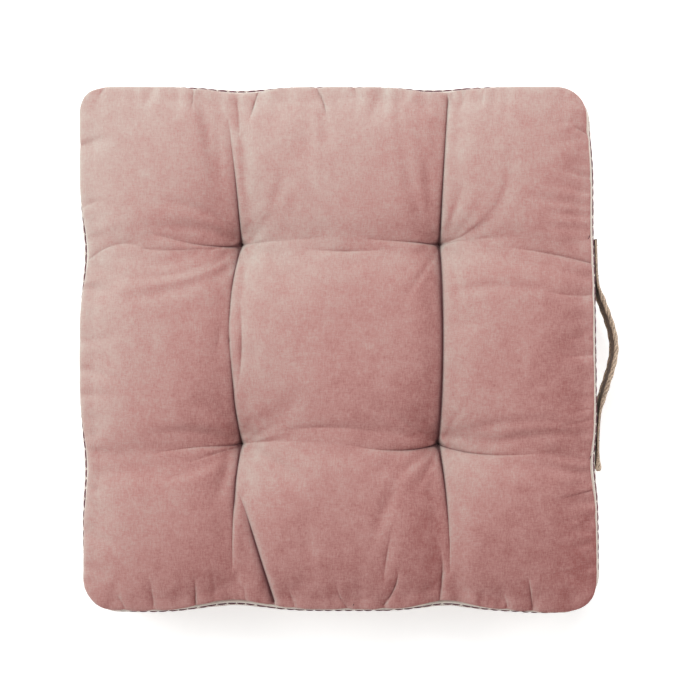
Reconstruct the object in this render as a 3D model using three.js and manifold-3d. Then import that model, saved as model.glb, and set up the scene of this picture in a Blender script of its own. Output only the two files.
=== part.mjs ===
// A square velvet floor cushion: a filled body tufted at four points, a woven side band,
// a corded top seam and a webbing carrying strap on its right side. Millimetres, +Z up.
// It lies on its base, and the origin is at the centre of the base.
import * as THREE from "three";
import { mergeVertices } from "three/addons/utils/BufferGeometryUtils.js";
import Module from "manifold-3d";

const wasm = await Module();
wasm.setup();

// Seam line, seen from above
const SEAM_HALF_WIDTH = 250;
const SEAM_HALF_BACK = 253;
const SEAM_HALF_FRONT = 252;
const RIGHT_SIDE_SLANT = 2.6; // the right side leans in by this at mid-length, and by twice this at the back
const CORNER_RADII = { backRight: 31, backLeft: 27, frontLeft: 34, frontRight: 36 };

// Where the tufts pull each side in: the place along the side, the depth and how far it reaches
const DRAWN_IN = [
  { side: "left", at: 94, depth: 5.4, reach: 38 },
  { side: "left", at: -115, depth: 5.2, reach: 42 },
  { side: "left", at: -212, depth: 3.2, reach: 60 },
  { side: "right", at: 120, depth: 1.2, reach: 40 },
  { side: "right", at: -112, depth: 3.4, reach: 28 },
  { side: "back", at: -97, depth: 4.2, reach: 34 },
  { side: "back", at: 95, depth: 5.9, reach: 34 },
  { side: "front", at: -104, depth: 8, reach: 40 },
  { side: "front", at: 104, depth: 8, reach: 30 },
];

// Heights above the floor
const SEAM_HEIGHT = 78;
const SHOULDER_RISE = 13.5; // from the seam to where the edge roll ends
const CROWN_RISE = 27; // from the seam to the crown, before the tufts pull it down
const CROWN_REACH = 85; // how far in from the edge roll the crown is reached

// Edge roll of the velvet over the top seam, from the shoulder down into the groove behind the piping.
// "out" and "up" count from the piping's centre, and "puff" is the share of the local puff added to "out"
const EDGE_ROLL = [
  { out: -2.4, up: 10.8, puff: 1 },
  { out: 0, up: 7.4, puff: 1 },
  { out: -1, up: 4.4, puff: 1 },
  { out: -2.8, up: 0.9, puff: 0 },
  { out: -2.8, up: -1.6, puff: 0 },
];
const SHOULDER_OUT = -7.5;
const PUFF_ALONG_SIDES = -1.2;
const PUFF_AT_CORNERS = 2.8;
const CORNER_REACH = 62; // how far from a corner its extra puff fades
const SEAM_DIP_SHARE = 0.4; // where the seam is drawn in it also dips, by this share

// Side band and piping
const BAND_TOP = 75.2;
const BAND_BOTTOM = 8;
const BAND_BULGE = 6; // past the piping's centre, at half height
const BAND_EDGE_OUT = -0.6;
const BAND_FULLNESS = 4; // higher is boxier
const BAND_DRAWN_SHARE = 0.75; // the bulge follows this share of what the seam is drawn in
const BAND_THICKNESS = 1.6;
const BAND_ROWS = [0, 0.08, 0.3, 0.7, 0.92, 1];
const PIPING_RADIUS = 2.1;
const PIPING_SIDES = 6;
const CLEARANCE = 0.3;
const PROFILE_STEP = 0.03; // share of the band's profile over which its normal is taken

// Base
const BASE_ROLL = [
  { out: -3.6, up: 5 },
  { out: -8, up: 1.4 },
];
const BASE_RIM_OUT = -14; // where the flat of the base begins
const BASE_TRIM = 0.5; // the base is made this much too low and then cut flat

// Tufts, with their pits in the top and in the base
const TUFTS = [
  { x: -96, y: 103 },
  { x: 98, y: 102 },
  { x: -96, y: -92 },
  { x: 97, y: -93 },
];
const TUFT_PIT = { depth: 19, reach: 17 };
const BASE_PIT = { depth: 9, reach: 15 };

// Channels between the tufts and out to the seam, then the main creases. Each is a trough along a line from
// x0, y0 to x1, y1 that bows to its left by "bow", with its depth at the start, middle and end
const FOLDS = [
  { x0: -96, y0: 103, x1: -107, y1: 249, bow: 1, d0: 15, dm: 10, d1: 7, wide: 15 },
  { x0: -96, y0: 103, x1: -96, y1: -92, bow: -9, d0: 15, dm: 10, d1: 15, wide: 17 },
  { x0: -96, y0: -92, x1: -98, y1: -246, bow: -6, d0: 15, dm: 10, d1: 8, wide: 16 },
  { x0: 98, y0: 102, x1: 106, y1: 249, bow: 0, d0: 15, dm: 10, d1: 8, wide: 14 },
  { x0: 98, y0: 102, x1: 97, y1: -93, bow: 2, d0: 15, dm: 11, d1: 15, wide: 17 },
  { x0: 97, y0: -93, x1: 104, y1: -246, bow: 3, d0: 15, dm: 10, d1: 9, wide: 15 },
  { x0: -96, y0: 103, x1: -243, y1: 94, bow: 1, d0: 14, dm: 8, d1: 5, wide: 15 },
  { x0: -96, y0: 103, x1: 98, y1: 102, bow: 4, d0: 15, dm: 9, d1: 15, wide: 16 },
  { x0: 98, y0: 102, x1: 244, y1: 85, bow: 2, d0: 14, dm: 8, d1: 5, wide: 15 },
  { x0: -96, y0: -92, x1: -245, y1: -116, bow: -3, d0: 14, dm: 7, d1: 5, wide: 15 },
  { x0: -96, y0: -92, x1: 97, y1: -93, bow: 1, d0: 15, dm: 9, d1: 15, wide: 16 },
  { x0: 97, y0: -93, x1: 245, y1: -108, bow: 3, d0: 14, dm: 8, d1: 5, wide: 15 },
  { x0: -134, y0: 246, x1: -125, y1: 168, bow: -3, d0: 4, dm: 4, d1: 0, wide: 9 },
  { x0: -95, y0: -130, x1: -64, y1: -246, bow: 4, d0: 3, dm: 6, d1: 6, wide: 9 },
  { x0: 98, y0: 102, x1: 166, y1: 187, bow: -9, d0: 6, dm: 5, d1: 0, wide: 11 },
  { x0: -96, y0: 98, x1: -238, y1: 62, bow: -3, d0: 4, dm: 4, d1: 2, wide: 11 },
  { x0: -20, y0: 248, x1: -13, y1: 200, bow: 3, d0: 4, dm: 3, d1: 0, wide: 9 },
  { x0: 51, y0: -246, x1: 52, y1: -172, bow: -5, d0: 4, dm: 3, d1: 0, wide: 9 },
  { x0: 188, y0: -248, x1: 182, y1: -205, bow: 0, d0: 4, dm: 3, d1: 0, wide: 8 },
  { x0: -64, y0: -80, x1: 37, y1: -78, bow: 5, d0: 0, dm: 3, d1: 0, wide: 12 },
];
const FOLD_BLEND = 3; // folds that meet share their depth as a power mean of this order
const SHARP_SHARE = 0.5; // the sharp part of a trough; the rest is its wide shoulders
const SHOULDER_WIDTHS = 2.3; // the shoulders reach this many times further than the sharp part
const FOLD_FADE = 30; // folds grow shallower over this distance to the seam
const FOLD_AT_SEAM = 0.3; // to this share of their depth

// Carrying strap: how far it stands off the band, at places along the right side
const STRAP_WIDTH = 40;
const STRAP_THICKNESS = 3.6;
const STRAP_MIDDLE = 43; // height of its middle above the floor
const STRAP_FOLD = 20; // length of each end folded under
const STRAP_SEAT = 0.45;
const STRAP_STEPS = 56;
const STRAP_ROUTE = [
  { y: 107, off: 0 },
  { y: 92, off: 0 },
  { y: 75, off: 0 },
  { y: 60, off: 2 },
  { y: 34, off: 10.5 },
  { y: 10, off: 16 },
  { y: -4, off: 16.2 },
  { y: -27, off: 11 },
  { y: -50, off: 4.2 },
  { y: -66, off: 1 },
  { y: -82, off: 0 },
  { y: -100, off: 0 },
  { y: -120, off: 0 },
];

// Grid of the body: cells along each side of its top and base, finest at the channels and at the corners
const CELLS = 34;
const HALF_CELLS = CELLS / 2;
const CHANNEL_AT = 0.4; // the channels' place, as a share of the half side
const GRID_SQUEEZE = 0.6; // how much narrower the cells are there
const DRAW_DECAY = 4; // how fast the outline's shape fades towards the middle

const COLOURS = { velvet: 0xc08f87, band: 0xcfc4b6, piping: 0xd8ccbe, strap: 0xa08c72 };

const { clamp, lerp } = THREE.MathUtils;

function drawnIn(side, at) {
  const near = DRAWN_IN.filter((row) => row.side === side);
  return near.reduce((sum, row) => sum + row.depth * Math.exp(-(((at - row.at) / row.reach) ** 2)), 0);
}

// Half width and half length of the seam line at a point, and how far it is drawn in there
function halfSizes(x, y) {
  const slant = x > 0 ? RIGHT_SIDE_SLANT * (1 + y / 200) : 0;
  const inX = drawnIn(x > 0 ? "right" : "left", y);
  const inY = drawnIn(y > 0 ? "back" : "front", x);
  const halfY = y > 0 ? SEAM_HALF_BACK : SEAM_HALF_FRONT;
  return { halfX: SEAM_HALF_WIDTH - slant - inX, halfY: halfY - inY, inX, inY };
}

function cornerRadius(x, y) {
  if (x > 0) return y > 0 ? CORNER_RADII.backRight : CORNER_RADII.frontRight;
  return y > 0 ? CORNER_RADII.backLeft : CORNER_RADII.frontLeft;
}

// Seam line by its place round a unit square: 0 at the middle of the right side, then anticlockwise to 8
function squareAt(place) {
  const p = ((place % 8) + 9) % 8; // 0 at the front right corner
  if (p < 2) return [1, p - 1];
  if (p < 4) return [3 - p, 1];
  if (p < 6) return [-1, 5 - p];
  return [p - 7, -1];
}

function placeOf(u, v) {
  if (u >= Math.abs(v)) return v / u;
  if (v >= Math.abs(u)) return 2 - u / v;
  if (-u >= Math.abs(v)) return 4 + v / u;
  return 6 - u / v;
}

// 1 at a corner, fading to 0 along the sides
function nearCorner(toCorner) {
  return Math.exp(-((toCorner / CORNER_REACH) ** 2));
}

function seamPoint(place) {
  const [u, v] = squareAt(place);
  const { halfX, halfY, inX, inY } = halfSizes(u * SEAM_HALF_WIDTH, v * SEAM_HALF_BACK);
  const radius = cornerRadius(u, v);
  const coreX = halfX - radius;
  const coreY = halfY - radius;
  const pastX = Math.abs(u) * halfX - coreX;
  const pastY = Math.abs(v) * halfY - coreY;
  const inCorner = pastX > 0 && pastY > 0;
  const pull = inCorner ? radius / Math.hypot(pastX, pastY) : 1;
  const x = coreX + pastX * pull;
  const y = coreY + pastY * pull;
  const toCorner = Math.hypot(halfX - x, halfY - y);
  const drawn = (Math.abs(u) > Math.abs(v) ? inX : inY) * (1 - nearCorner(toCorner));
  return { x: Math.sign(u) * x, y: Math.sign(v) * y, drawn, toCorner };
}

// A point of the seam line with its outward direction
function seamStation(place) {
  const here = seamPoint(place);
  const before = seamPoint(place - 0.004);
  const after = seamPoint(place + 0.004);
  const length = Math.hypot(after.x - before.x, after.y - before.y);
  return { ...here, nx: (after.y - before.y) / length, ny: (before.x - after.x) / length };
}

function puffAt({ toCorner }) {
  return lerp(PUFF_ALONG_SIDES, PUFF_AT_CORNERS, nearCorner(toCorner));
}

// A point of the side band's profile, 0 at its top edge and 1 at its bottom edge, moved in along its normal
function bandPoint(share, inwards, drawn) {
  const bulge = BAND_BULGE + (1 - BAND_DRAWN_SHARE) * drawn;
  const top = BAND_TOP - SEAM_DIP_SHARE * drawn;
  const outAt = (s) => lerp(bulge, BAND_EDGE_OUT, Math.abs(2 * s - 1) ** BAND_FULLNESS);
  const drop = (top - BAND_BOTTOM) * 2 * PROFILE_STEP;
  const swell = outAt(share + PROFILE_STEP) - outAt(share - PROFILE_STEP);
  const length = Math.hypot(drop, swell);
  const up = lerp(top, BAND_BOTTOM, share) - (inwards * swell) / length;
  return { out: outAt(share) - (inwards * drop) / length, up: clamp(up, BAND_BOTTOM, top) };
}

function foldDepth(fold, x, y) {
  const dx = fold.x1 - fold.x0;
  const dy = fold.y1 - fold.y0;
  const length = Math.hypot(dx, dy);
  const t = clamp(((x - fold.x0) * dx + (y - fold.y0) * dy) / length ** 2, 0, 1);
  const aside = (4 * t * (1 - t) * fold.bow) / length;
  const away = Math.hypot(x - fold.x0 - dx * t + dy * aside, y - fold.y0 - dy * t - dx * aside);
  const depth = fold.d0 * (1 - t) * (1 - 2 * t) + fold.dm * 4 * t * (1 - t) + fold.d1 * t * (2 * t - 1);
  const sharp = Math.exp(-away / fold.wide);
  const shoulders = Math.exp(-((away / (fold.wide * SHOULDER_WIDTHS)) ** 2));
  return Math.max(depth, 0) * (SHARP_SHARE * sharp + (1 - SHARP_SHARE) * shoulders);
}

function pitDepth(pit, x, y) {
  const away = TUFTS.map((tuft) => Math.hypot(x - tuft.x, y - tuft.y));
  return away.reduce((sum, distance) => sum + pit.depth * Math.exp(-distance / pit.reach), 0);
}

// Distance from a point in to the seam line
function seamDistance(x, y) {
  const { halfX, halfY } = halfSizes(x, y);
  const radius = cornerRadius(x, y);
  const pastX = Math.abs(x) - halfX + radius;
  const pastY = Math.abs(y) - halfY + radius;
  if (pastX > 0 && pastY > 0) return radius - Math.hypot(pastX, pastY);
  return radius - Math.max(pastX, pastY);
}

// The seam's dip seen from inside the outline: it fades over the edge
function dipAt(x, y, inside) {
  const { inX, inY, halfX, halfY } = halfSizes(x, y);
  const drawn = halfX - Math.abs(x) < halfY - Math.abs(y) ? inX : inY;
  return SEAM_DIP_SHARE * drawn * (1 - clamp(inside / FOLD_FADE, 0, 1));
}

function topHeight(x, y) {
  const inside = seamDistance(x, y) + SHOULDER_OUT;
  const crown = 1 - (1 - clamp(inside / CROWN_REACH, 0, 1)) ** 2;
  const depths = FOLDS.map((fold) => foldDepth(fold, x, y) ** FOLD_BLEND);
  const folds = depths.reduce((sum, depth) => sum + depth, 0) ** (1 / FOLD_BLEND);
  const fade = lerp(FOLD_AT_SEAM, 1, clamp(inside / FOLD_FADE, 0, 1));
  const rise = lerp(SHOULDER_RISE, CROWN_RISE, crown) - dipAt(x, y, inside);
  return SEAM_HEIGHT + rise - folds * fade - pitDepth(TUFT_PIT, x, y);
}

// Spacing of the grid lines
function gridLine(share) {
  const past = Math.abs(share) - CHANNEL_AT;
  const span = past < 0 ? CHANNEL_AT : (1 - CHANNEL_AT) / 2;
  const shift = ((GRID_SQUEEZE * span) / Math.PI) * Math.sin((Math.PI * past) / span);
  return share - Math.sign(share) * shift;
}

// A grid point of the top or the base seen from above: a plain grid in the middle, which at its rim takes the
// seam's outline, moved out by rimOut
function plan(i, j, rimOut) {
  const u = gridLine(i / HALF_CELLS);
  const v = gridLine(j / HALF_CELLS);
  const ring = Math.max(Math.abs(u), Math.abs(v));
  if (ring === 0) return { x: 0, y: 0 };
  const halfX = SEAM_HALF_WIDTH + rimOut;
  const halfY = SEAM_HALF_BACK + rimOut;
  const place = placeOf(u, v);
  const [rimX, rimY] = onSection(seamStation(place), rimOut);
  const [squareX, squareY] = squareAt(place);
  const blend = ring ** DRAW_DECAY;
  return { x: u * halfX + (rimX - squareX * halfX) * blend, y: v * halfY + (rimY - squareY * halfY) * blend };
}

function rimStation(i, j) {
  return seamStation(placeOf(gridLine(i / HALF_CELLS), gridLine(j / HALF_CELLS)));
}

function onSection(station, out) {
  return [station.x + out * station.nx, station.y + out * station.ny];
}

function topPoint(i, j) {
  const { x, y } = plan(i, j, SHOULDER_OUT);
  return [x, y, topHeight(x, y)];
}

function basePoint(i, j) {
  const { x, y } = plan(i, j, BASE_RIM_OUT);
  return [x, y, pitDepth(BASE_PIT, x, y) - BASE_TRIM];
}

// Rows of the body's side: the edge roll, the face behind the band and the roll to the base
function sidePoint(i, j, level) {
  const station = rimStation(i, j);
  const rollRow = EDGE_ROLL[level - 1];
  if (rollRow) {
    const up = SEAM_HEIGHT + rollRow.up - SEAM_DIP_SHARE * station.drawn;
    return [...onSection(station, rollRow.out + rollRow.puff * puffAt(station)), up];
  }
  const bandShare = BAND_ROWS[level - 1 - EDGE_ROLL.length];
  const row = bandShare === undefined
    ? BASE_ROLL[level - 1 - EDGE_ROLL.length - BAND_ROWS.length]
    : bandPoint(bandShare, BAND_THICKNESS + CLEARANCE, station.drawn);
  return [...onSection(station, row.out), row.up];
}

function positionsOf(geometry) {
  geometry.deleteAttribute("normal");
  geometry.deleteAttribute("uv");
  return mergeVertices(geometry);
}

function movePoints(geometry, move) {
  const position = geometry.getAttribute("position");
  for (let n = 0; n < position.count; n++) {
    position.setXYZ(n, ...move(position.getX(n), position.getY(n), position.getZ(n)));
  }
  return geometry;
}

function solidOf(geometry) {
  const merged = positionsOf(geometry.clone());
  const mesh = new wasm.Mesh({
    numProp: 3,
    vertProperties: merged.getAttribute("position").array,
    triVerts: new Uint32Array(merged.index.array),
  });
  return new wasm.Manifold(mesh);
}

function geometryOf(solid) {
  const { vertProperties, triVerts } = solid.getMesh();
  return new THREE.BufferGeometry()
    .setAttribute("position", new THREE.BufferAttribute(vertProperties, 3))
    .setIndex(new THREE.BufferAttribute(triVerts, 1));
}

// The filled body, cut flat where it rests
function bodyGeometry() {
  const levels = EDGE_ROLL.length + BAND_ROWS.length + BASE_ROLL.length + 1;
  const box = positionsOf(new THREE.BoxGeometry(CELLS, CELLS, levels, CELLS, CELLS, levels));
  movePoints(box, (x, y, z) => {
    const i = Math.round(x);
    const j = Math.round(y);
    const level = Math.round(levels / 2 - z);
    if (level === 0) return topPoint(i, j);
    if (level === levels) return basePoint(i, j);
    return sidePoint(i, j, level);
  });
  const floor = new THREE.BoxGeometry(4 * SEAM_HALF_WIDTH, 4 * SEAM_HALF_WIDTH, SEAM_HEIGHT);
  floor.translate(0, 0, -SEAM_HEIGHT / 2);
  return geometryOf(solidOf(box).subtract(solidOf(floor)));
}

// A closed ring round the cushion: a section turned round the axis, then laid along the seam line
function ringGeometry(sectionAt) {
  const count = sectionAt(seamStation(0)).length;
  const turns = 4 * CELLS;
  const profile = Array.from({ length: count + 1 }, (_, k) => new THREE.Vector2(SEAM_HALF_WIDTH, k % count));
  const lathe = new THREE.LatheGeometry(profile, turns);
  const position = lathe.getAttribute("position");
  for (let n = 0; n < position.count; n++) {
    const station = stationOf(Math.floor(n / (count + 1)) % turns);
    const row = sectionAt(station)[(n % (count + 1)) % count];
    position.setXYZ(n, ...onSection(station, row.out), row.up);
  }
  return positionsOf(lathe);
}

// Rim stations in order, anticlockwise from the front right corner
function stationOf(turn) {
  const step = (turn % CELLS) - HALF_CELLS;
  const side = Math.floor(turn / CELLS);
  if (side === 0) return rimStation(HALF_CELLS, step);
  if (side === 1) return rimStation(-step, HALF_CELLS);
  if (side === 2) return rimStation(-HALF_CELLS, -step);
  return rimStation(step, -HALF_CELLS);
}

function bandSection({ drawn }) {
  const outer = BAND_ROWS.map((share) => bandPoint(share, 0, drawn));
  const inner = BAND_ROWS.map((share) => bandPoint(share, BAND_THICKNESS, drawn));
  return [...inner, ...outer.reverse()];
}

function pipingSection({ drawn }) {
  const middle = SEAM_HEIGHT - SEAM_DIP_SHARE * drawn;
  return Array.from({ length: PIPING_SIDES }, (_, k) => {
    const angle = ((k + 0.5) / PIPING_SIDES) * 2 * Math.PI;
    return { out: PIPING_RADIUS * Math.cos(angle), up: middle + PIPING_RADIUS * Math.sin(angle) };
  });
}

// Outer face of the band at half height, on the right side
function bandFace(y) {
  const station = seamPoint(y / SEAM_HALF_BACK);
  return station.x + bandPoint(0.5, 0, station.drawn).out;
}

// The strap seen from above: a band of webbing whose ends are folded under, extruded over its width
function strapGeometry() {
  const route = new THREE.SplineCurve(STRAP_ROUTE.map(({ y, off }) => new THREE.Vector2(off, y)));
  const inner = [];
  const outer = [];
  for (let n = 0; n <= STRAP_STEPS; n++) {
    const { x: off, y } = route.getPoint(n / STRAP_STEPS);
    const fromEnd = Math.min(STRAP_ROUTE[0].y - y, y - STRAP_ROUTE[STRAP_ROUTE.length - 1].y);
    const face = bandFace(y) + STRAP_SEAT + Math.max(off, 0);
    const roundEnd = Math.sqrt(clamp(fromEnd / 4, 0.15, 1));
    const layers = 1 + clamp((STRAP_FOLD - fromEnd) / 4, 0, 0.6);
    inner.push(new THREE.Vector2(face, y));
    outer.push(new THREE.Vector2(face + STRAP_THICKNESS * layers * roundEnd, y));
  }
  const outline = new THREE.Shape([...outer.reverse(), ...inner]);
  const strap = new THREE.ExtrudeGeometry(outline, { depth: STRAP_WIDTH, bevelEnabled: false, steps: 1 });
  strap.translate(0, 0, STRAP_MIDDLE - STRAP_WIDTH / 2);
  return strap;
}

function piece(name, geometry, color, roughness) {
  geometry.computeVertexNormals();
  const mesh = new THREE.Mesh(geometry, new THREE.MeshStandardMaterial({ color, roughness, metalness: 0 }));
  mesh.name = name;
  return mesh;
}

const group = new THREE.Group();
group.add(piece("velvet_cushion", bodyGeometry(), COLOURS.velvet, 0.85));
group.add(piece("side_band", ringGeometry(bandSection), COLOURS.band, 0.9));
group.add(piece("top_piping", ringGeometry(pipingSection), COLOURS.piping, 0.85));
group.add(piece("handle_strap", strapGeometry(), COLOURS.strap, 0.9));

// The origin is at the centre of the base of the whole part
const bounds = new THREE.Box3().setFromObject(group);
const centre = bounds.getCenter(new THREE.Vector3());
for (const mesh of group.children) mesh.position.set(-centre.x, -centre.y, -bounds.min.z);

export default group;
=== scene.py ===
"""A square velvet floor cushion, tufted at four points, with a woven side band, a piped top seam and a
webbing carrying strap. Metres, +Z up, lying on its base."""

import math
import random
from collections import namedtuple

import bmesh
import bpy
import numpy as np
from mathutils import Matrix, Vector


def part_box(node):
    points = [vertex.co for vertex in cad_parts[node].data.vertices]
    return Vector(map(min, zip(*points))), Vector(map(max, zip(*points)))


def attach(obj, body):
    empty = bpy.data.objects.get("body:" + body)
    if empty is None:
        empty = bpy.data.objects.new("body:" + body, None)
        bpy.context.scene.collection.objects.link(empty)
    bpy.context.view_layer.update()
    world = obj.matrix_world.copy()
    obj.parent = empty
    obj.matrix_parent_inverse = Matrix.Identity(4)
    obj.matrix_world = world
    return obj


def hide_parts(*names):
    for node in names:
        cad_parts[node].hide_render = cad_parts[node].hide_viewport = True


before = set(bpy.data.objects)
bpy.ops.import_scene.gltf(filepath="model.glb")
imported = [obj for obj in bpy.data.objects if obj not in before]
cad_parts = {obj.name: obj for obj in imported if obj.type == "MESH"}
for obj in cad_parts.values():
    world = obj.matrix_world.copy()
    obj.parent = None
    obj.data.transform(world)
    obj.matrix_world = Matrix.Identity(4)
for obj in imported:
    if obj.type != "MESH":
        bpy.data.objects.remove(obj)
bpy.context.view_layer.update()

bl_info = {
    "name": "Tufted floor cushion",
    "version": (1, 0, 0),
    "blender": (4, 5, 0),
    "location": "3D View > Sidebar > Cushion",
    "description": "Makes a tufted velvet floor cushion with its band, piping, strap and stage",
    "category": "Object",
}

# Seam line, seen from above
SEAM_HALF_WIDTH = 0.250
SEAM_HALF_BACK = 0.253
SEAM_HALF_FRONT = 0.252
RIGHT_SIDE_SLANT = 0.0026
SLANT_REACH = 0.200
RADIUS_BACK_RIGHT, RADIUS_BACK_LEFT, RADIUS_FRONT_LEFT, RADIUS_FRONT_RIGHT = 0.030, 0.024, 0.031, 0.033
CORNER_REACH = 0.062
SEAM_SAMPLES = 1600
SEAM_HEIGHT = 0.078
SEAM_DIP_SHARE = 0.4

# Where the sides are pulled in, mostly by the tufts: the place along the side, the depth, which is below 0
# where the side stands out, and how far it reaches
DrawnIn = namedtuple("DrawnIn", "side at depth reach")
DRAWN_IN = [
    DrawnIn("right", 0.232, 0.0038, 0.045),
    DrawnIn("front", 0.205, -0.0024, 0.035),
    DrawnIn("front", -0.190, -0.0012, 0.050),
    DrawnIn("left", 0.094, 0.0054, 0.038),
    DrawnIn("left", -0.115, 0.0052, 0.042),
    DrawnIn("left", -0.212, 0.0032, 0.060),
    DrawnIn("right", 0.120, 0.0012, 0.040),
    DrawnIn("right", -0.112, 0.0034, 0.028),
    DrawnIn("back", -0.097, 0.0042, 0.034),
    DrawnIn("back", 0.095, 0.0036, 0.034),
    DrawnIn("front", -0.104, 0.0068, 0.040),
    DrawnIn("front", 0.104, 0.0062, 0.032),
]

# Crown of the top
SHOULDER_IN = 0.0075
SHOULDER_RISE = 0.0135
CROWN_RISE = 0.027
CROWN_REACH = 0.085
SEAM_FADE = 0.030
CHANNEL_AT_SEAM = 0.3  # share of their depth that the channels keep at the seam
PILLOW_FROM, PILLOW_EASE = 0.010, 0.020  # where the pillows start inside the seam line
PILLOW_IN, PILLOW_FOOT = 0.018, 0.001  # past here all is pillow, and before it only what stands this far up

# Roll of the velvet along the seam: how far out of the seam line it stands at each height over it, and the
# share of the puff that it takes
Roll = namedtuple("Roll", "up out puff")
ROLL = [
    Roll(-0.0040, -0.0028, 0.0),
    Roll(0.0009, -0.0026, 0.1),
    Roll(0.0038, -0.0010, 0.85),
    Roll(0.0054, 0.0000, 1.0),
    Roll(0.0086, 0.0000, 1.0),
    Roll(0.0114, -0.0022, 1.0),
]
ROLL_TOP = 0.0134
ROLL_EASE_TOP, ROLL_EASE_FOOT = 0.004, 0.003
ROLL_IN = 0.009
SLOPE_STEP = 0.0005

# How far the velvet puffs out over the piping, by the way that the side or corner faces, in degrees from the
# right
Puff = namedtuple("Puff", "way out")
PUFFS = [
    Puff(-180, 0.0026), Puff(-135, 0.0018), Puff(-90, 0.0008), Puff(-45, 0.0030), Puff(0, -0.0001),
    Puff(45, 0.0020), Puff(90, 0.0024), Puff(135, 0.0036), Puff(180, 0.0026),
]
PUFF_LOSS = 0.4  # share of the drawing in by which the velvet puffs out less

# Side band
BAND_TOP = 0.0752
BAND_BOTTOM = 0.008
BAND_HEIGHT = BAND_TOP - BAND_BOTTOM
BAND_BULGE = 0.006
BAND_EDGE_OUT = -0.0006
BAND_FULLNESS = 4
BAND_DRAWN_SHARE = 0.75
BAND_THICKNESS = 0.0016
BODY_GAP = 0.0004  # between the band and the filled body
BAND_STEPS, BAND_ROWS = 820, 24
BAND_RIPPLE = 0.0003
BAND_WEAVE = 0.0021, 0.0005  # pitch and relief of its threads

# Piping in the top seam
PIPING_RADIUS = 0.0021
PIPING_HEIGHT = 0.078
PIPING_STEPS, PIPING_SIDES = 1000, 14
PIPING_WEAVE = 0.0011, 0.0003

# Whipped stitches in a row under the piping, and how uneven they are
STITCH_PITCH = 0.0096
STITCH_LENGTH = 0.0094
STITCH_THICKNESS = 0.0027
STITCH_HEIGHT = 0.0732
STITCH_OUT = 0.0027
STITCH_TUCK, TUCK_REACH = 0.0026, 0.034  # how much less the stitches stand out at the corners
STITCH_SLANT = math.radians(14)
STITCH_STRAYS, STITCH_RISES, STITCH_LEANS = 0.09, 0.0004, 0.1
STITCH_LONG, STITCH_THICK = (0.85, 1.1), (0.9, 1.1)
BAR_SIDES, BAR_RINGS = 10, 8

# Carrying strap, on the right side
STRAP_WIDTH = 0.036
STRAP_THICKNESS = 0.0019
STRAP_MIDDLE = 0.043
STRAP_SEAT = 0.00045
STRAP_STEPS, STRAP_ROWS = 260, 14
CHEVRON_WIDTH, CHEVRON_LEAN, CHEVRON_PITCH = 0.006, 0.8, 0.0052
ROPE_RADIUS = 0.0025
ROPE_LOBE = 0.0005
ROPE_TURN = 0.026
ROPE_STRANDS = 4
ROPE_STEPS, ROPE_SIDES = 400, 20
ROPE_FLAT, ROPE_IN = 0.62, 0.0005  # how much flatter and closer the ropes lie where the strap is sewn down
ROPE_SEWN_REACH, FOLD_REACH = 0.003, 0.007
ROPE_TAPER, ROPE_END = 0.007, 0.15  # length over which their ends taper, and how thin they end

# The strap's route: places along the right side, each with the strap's distance off the band
STRAP_ROUTE = [
    (0.108, 0.0), (0.092, 0.0), (0.076, 0.0), (0.062, 0.0014), (0.047, 0.0060), (0.032, 0.0114),
    (0.016, 0.0160), (0.000, 0.0176), (-0.016, 0.0151), (-0.033, 0.0098), (-0.050, 0.0044),
    (-0.066, 0.0010), (-0.082, 0.0002), (-0.096, 0.0008), (-0.110, 0.0020), (-0.1175, 0.0020),
    (-0.1196, 0.0010), (-0.1175, 0.0), (-0.110, 0.0), (-0.098, 0.0),
]
ROUTE_STEPS = 24

# Rows of stitches that hold the strap's ends
STRAP_TACKS = (0.099, 0.0745, -0.087, -0.112)
TACKS_ACROSS, TACK_PITCH = 9, 0.0036
TACK_LENGTH, TACK_RADIUS, TACK_LEAN = 0.0034, 0.00055, 1.25

# Ends of the sewing thread that show on the velvet's edge, and the two stitches that tie each tuft
THREAD_DOTS = [(0.2425, 0.1092), (0.2440, -0.1048), (0.0140, -0.2470)]
THREAD_LENGTH, THREAD_RADIUS, DOT_LEAN = 0.0045, 0.0004, 1.2
TuftStitch = namedtuple("TuftStitch", "lean aside")
TUFT_STITCHES = [TuftStitch(0.35, -0.0005), TuftStitch(-0.30, 0.0006)]

# Tufts, with the depth of the cone that each leaves in the filling, and the pinch at its middle
Tuft = namedtuple("Tuft", "x y deep")
TUFTS = [
    Tuft(-0.096, 0.103, 0.0145),
    Tuft(0.098, 0.102, 0.0090),
    Tuft(-0.096, -0.092, 0.0155),
    Tuft(0.097, -0.093, 0.0125),
]
CONE_REACH, CONE_POWER = 0.046, 1.5
PINCH_DEPTH, PINCH_REACH = 0.011, 0.009

# How the filling pushes the velvet out, and how far from the channels and tufts the sewing holds it
FILLING = {
    "quality": 5, "mass": 0.3, "tension_stiffness": 15, "compression_stiffness": 15, "shear_stiffness": 5,
    "bending_stiffness": 2, "shrink_min": -0.008, "use_pressure": True,
}
FILL_FRAMES = 20
CHANNEL_HOLD, TUFT_HOLD = 0.006, 0.012

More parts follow.
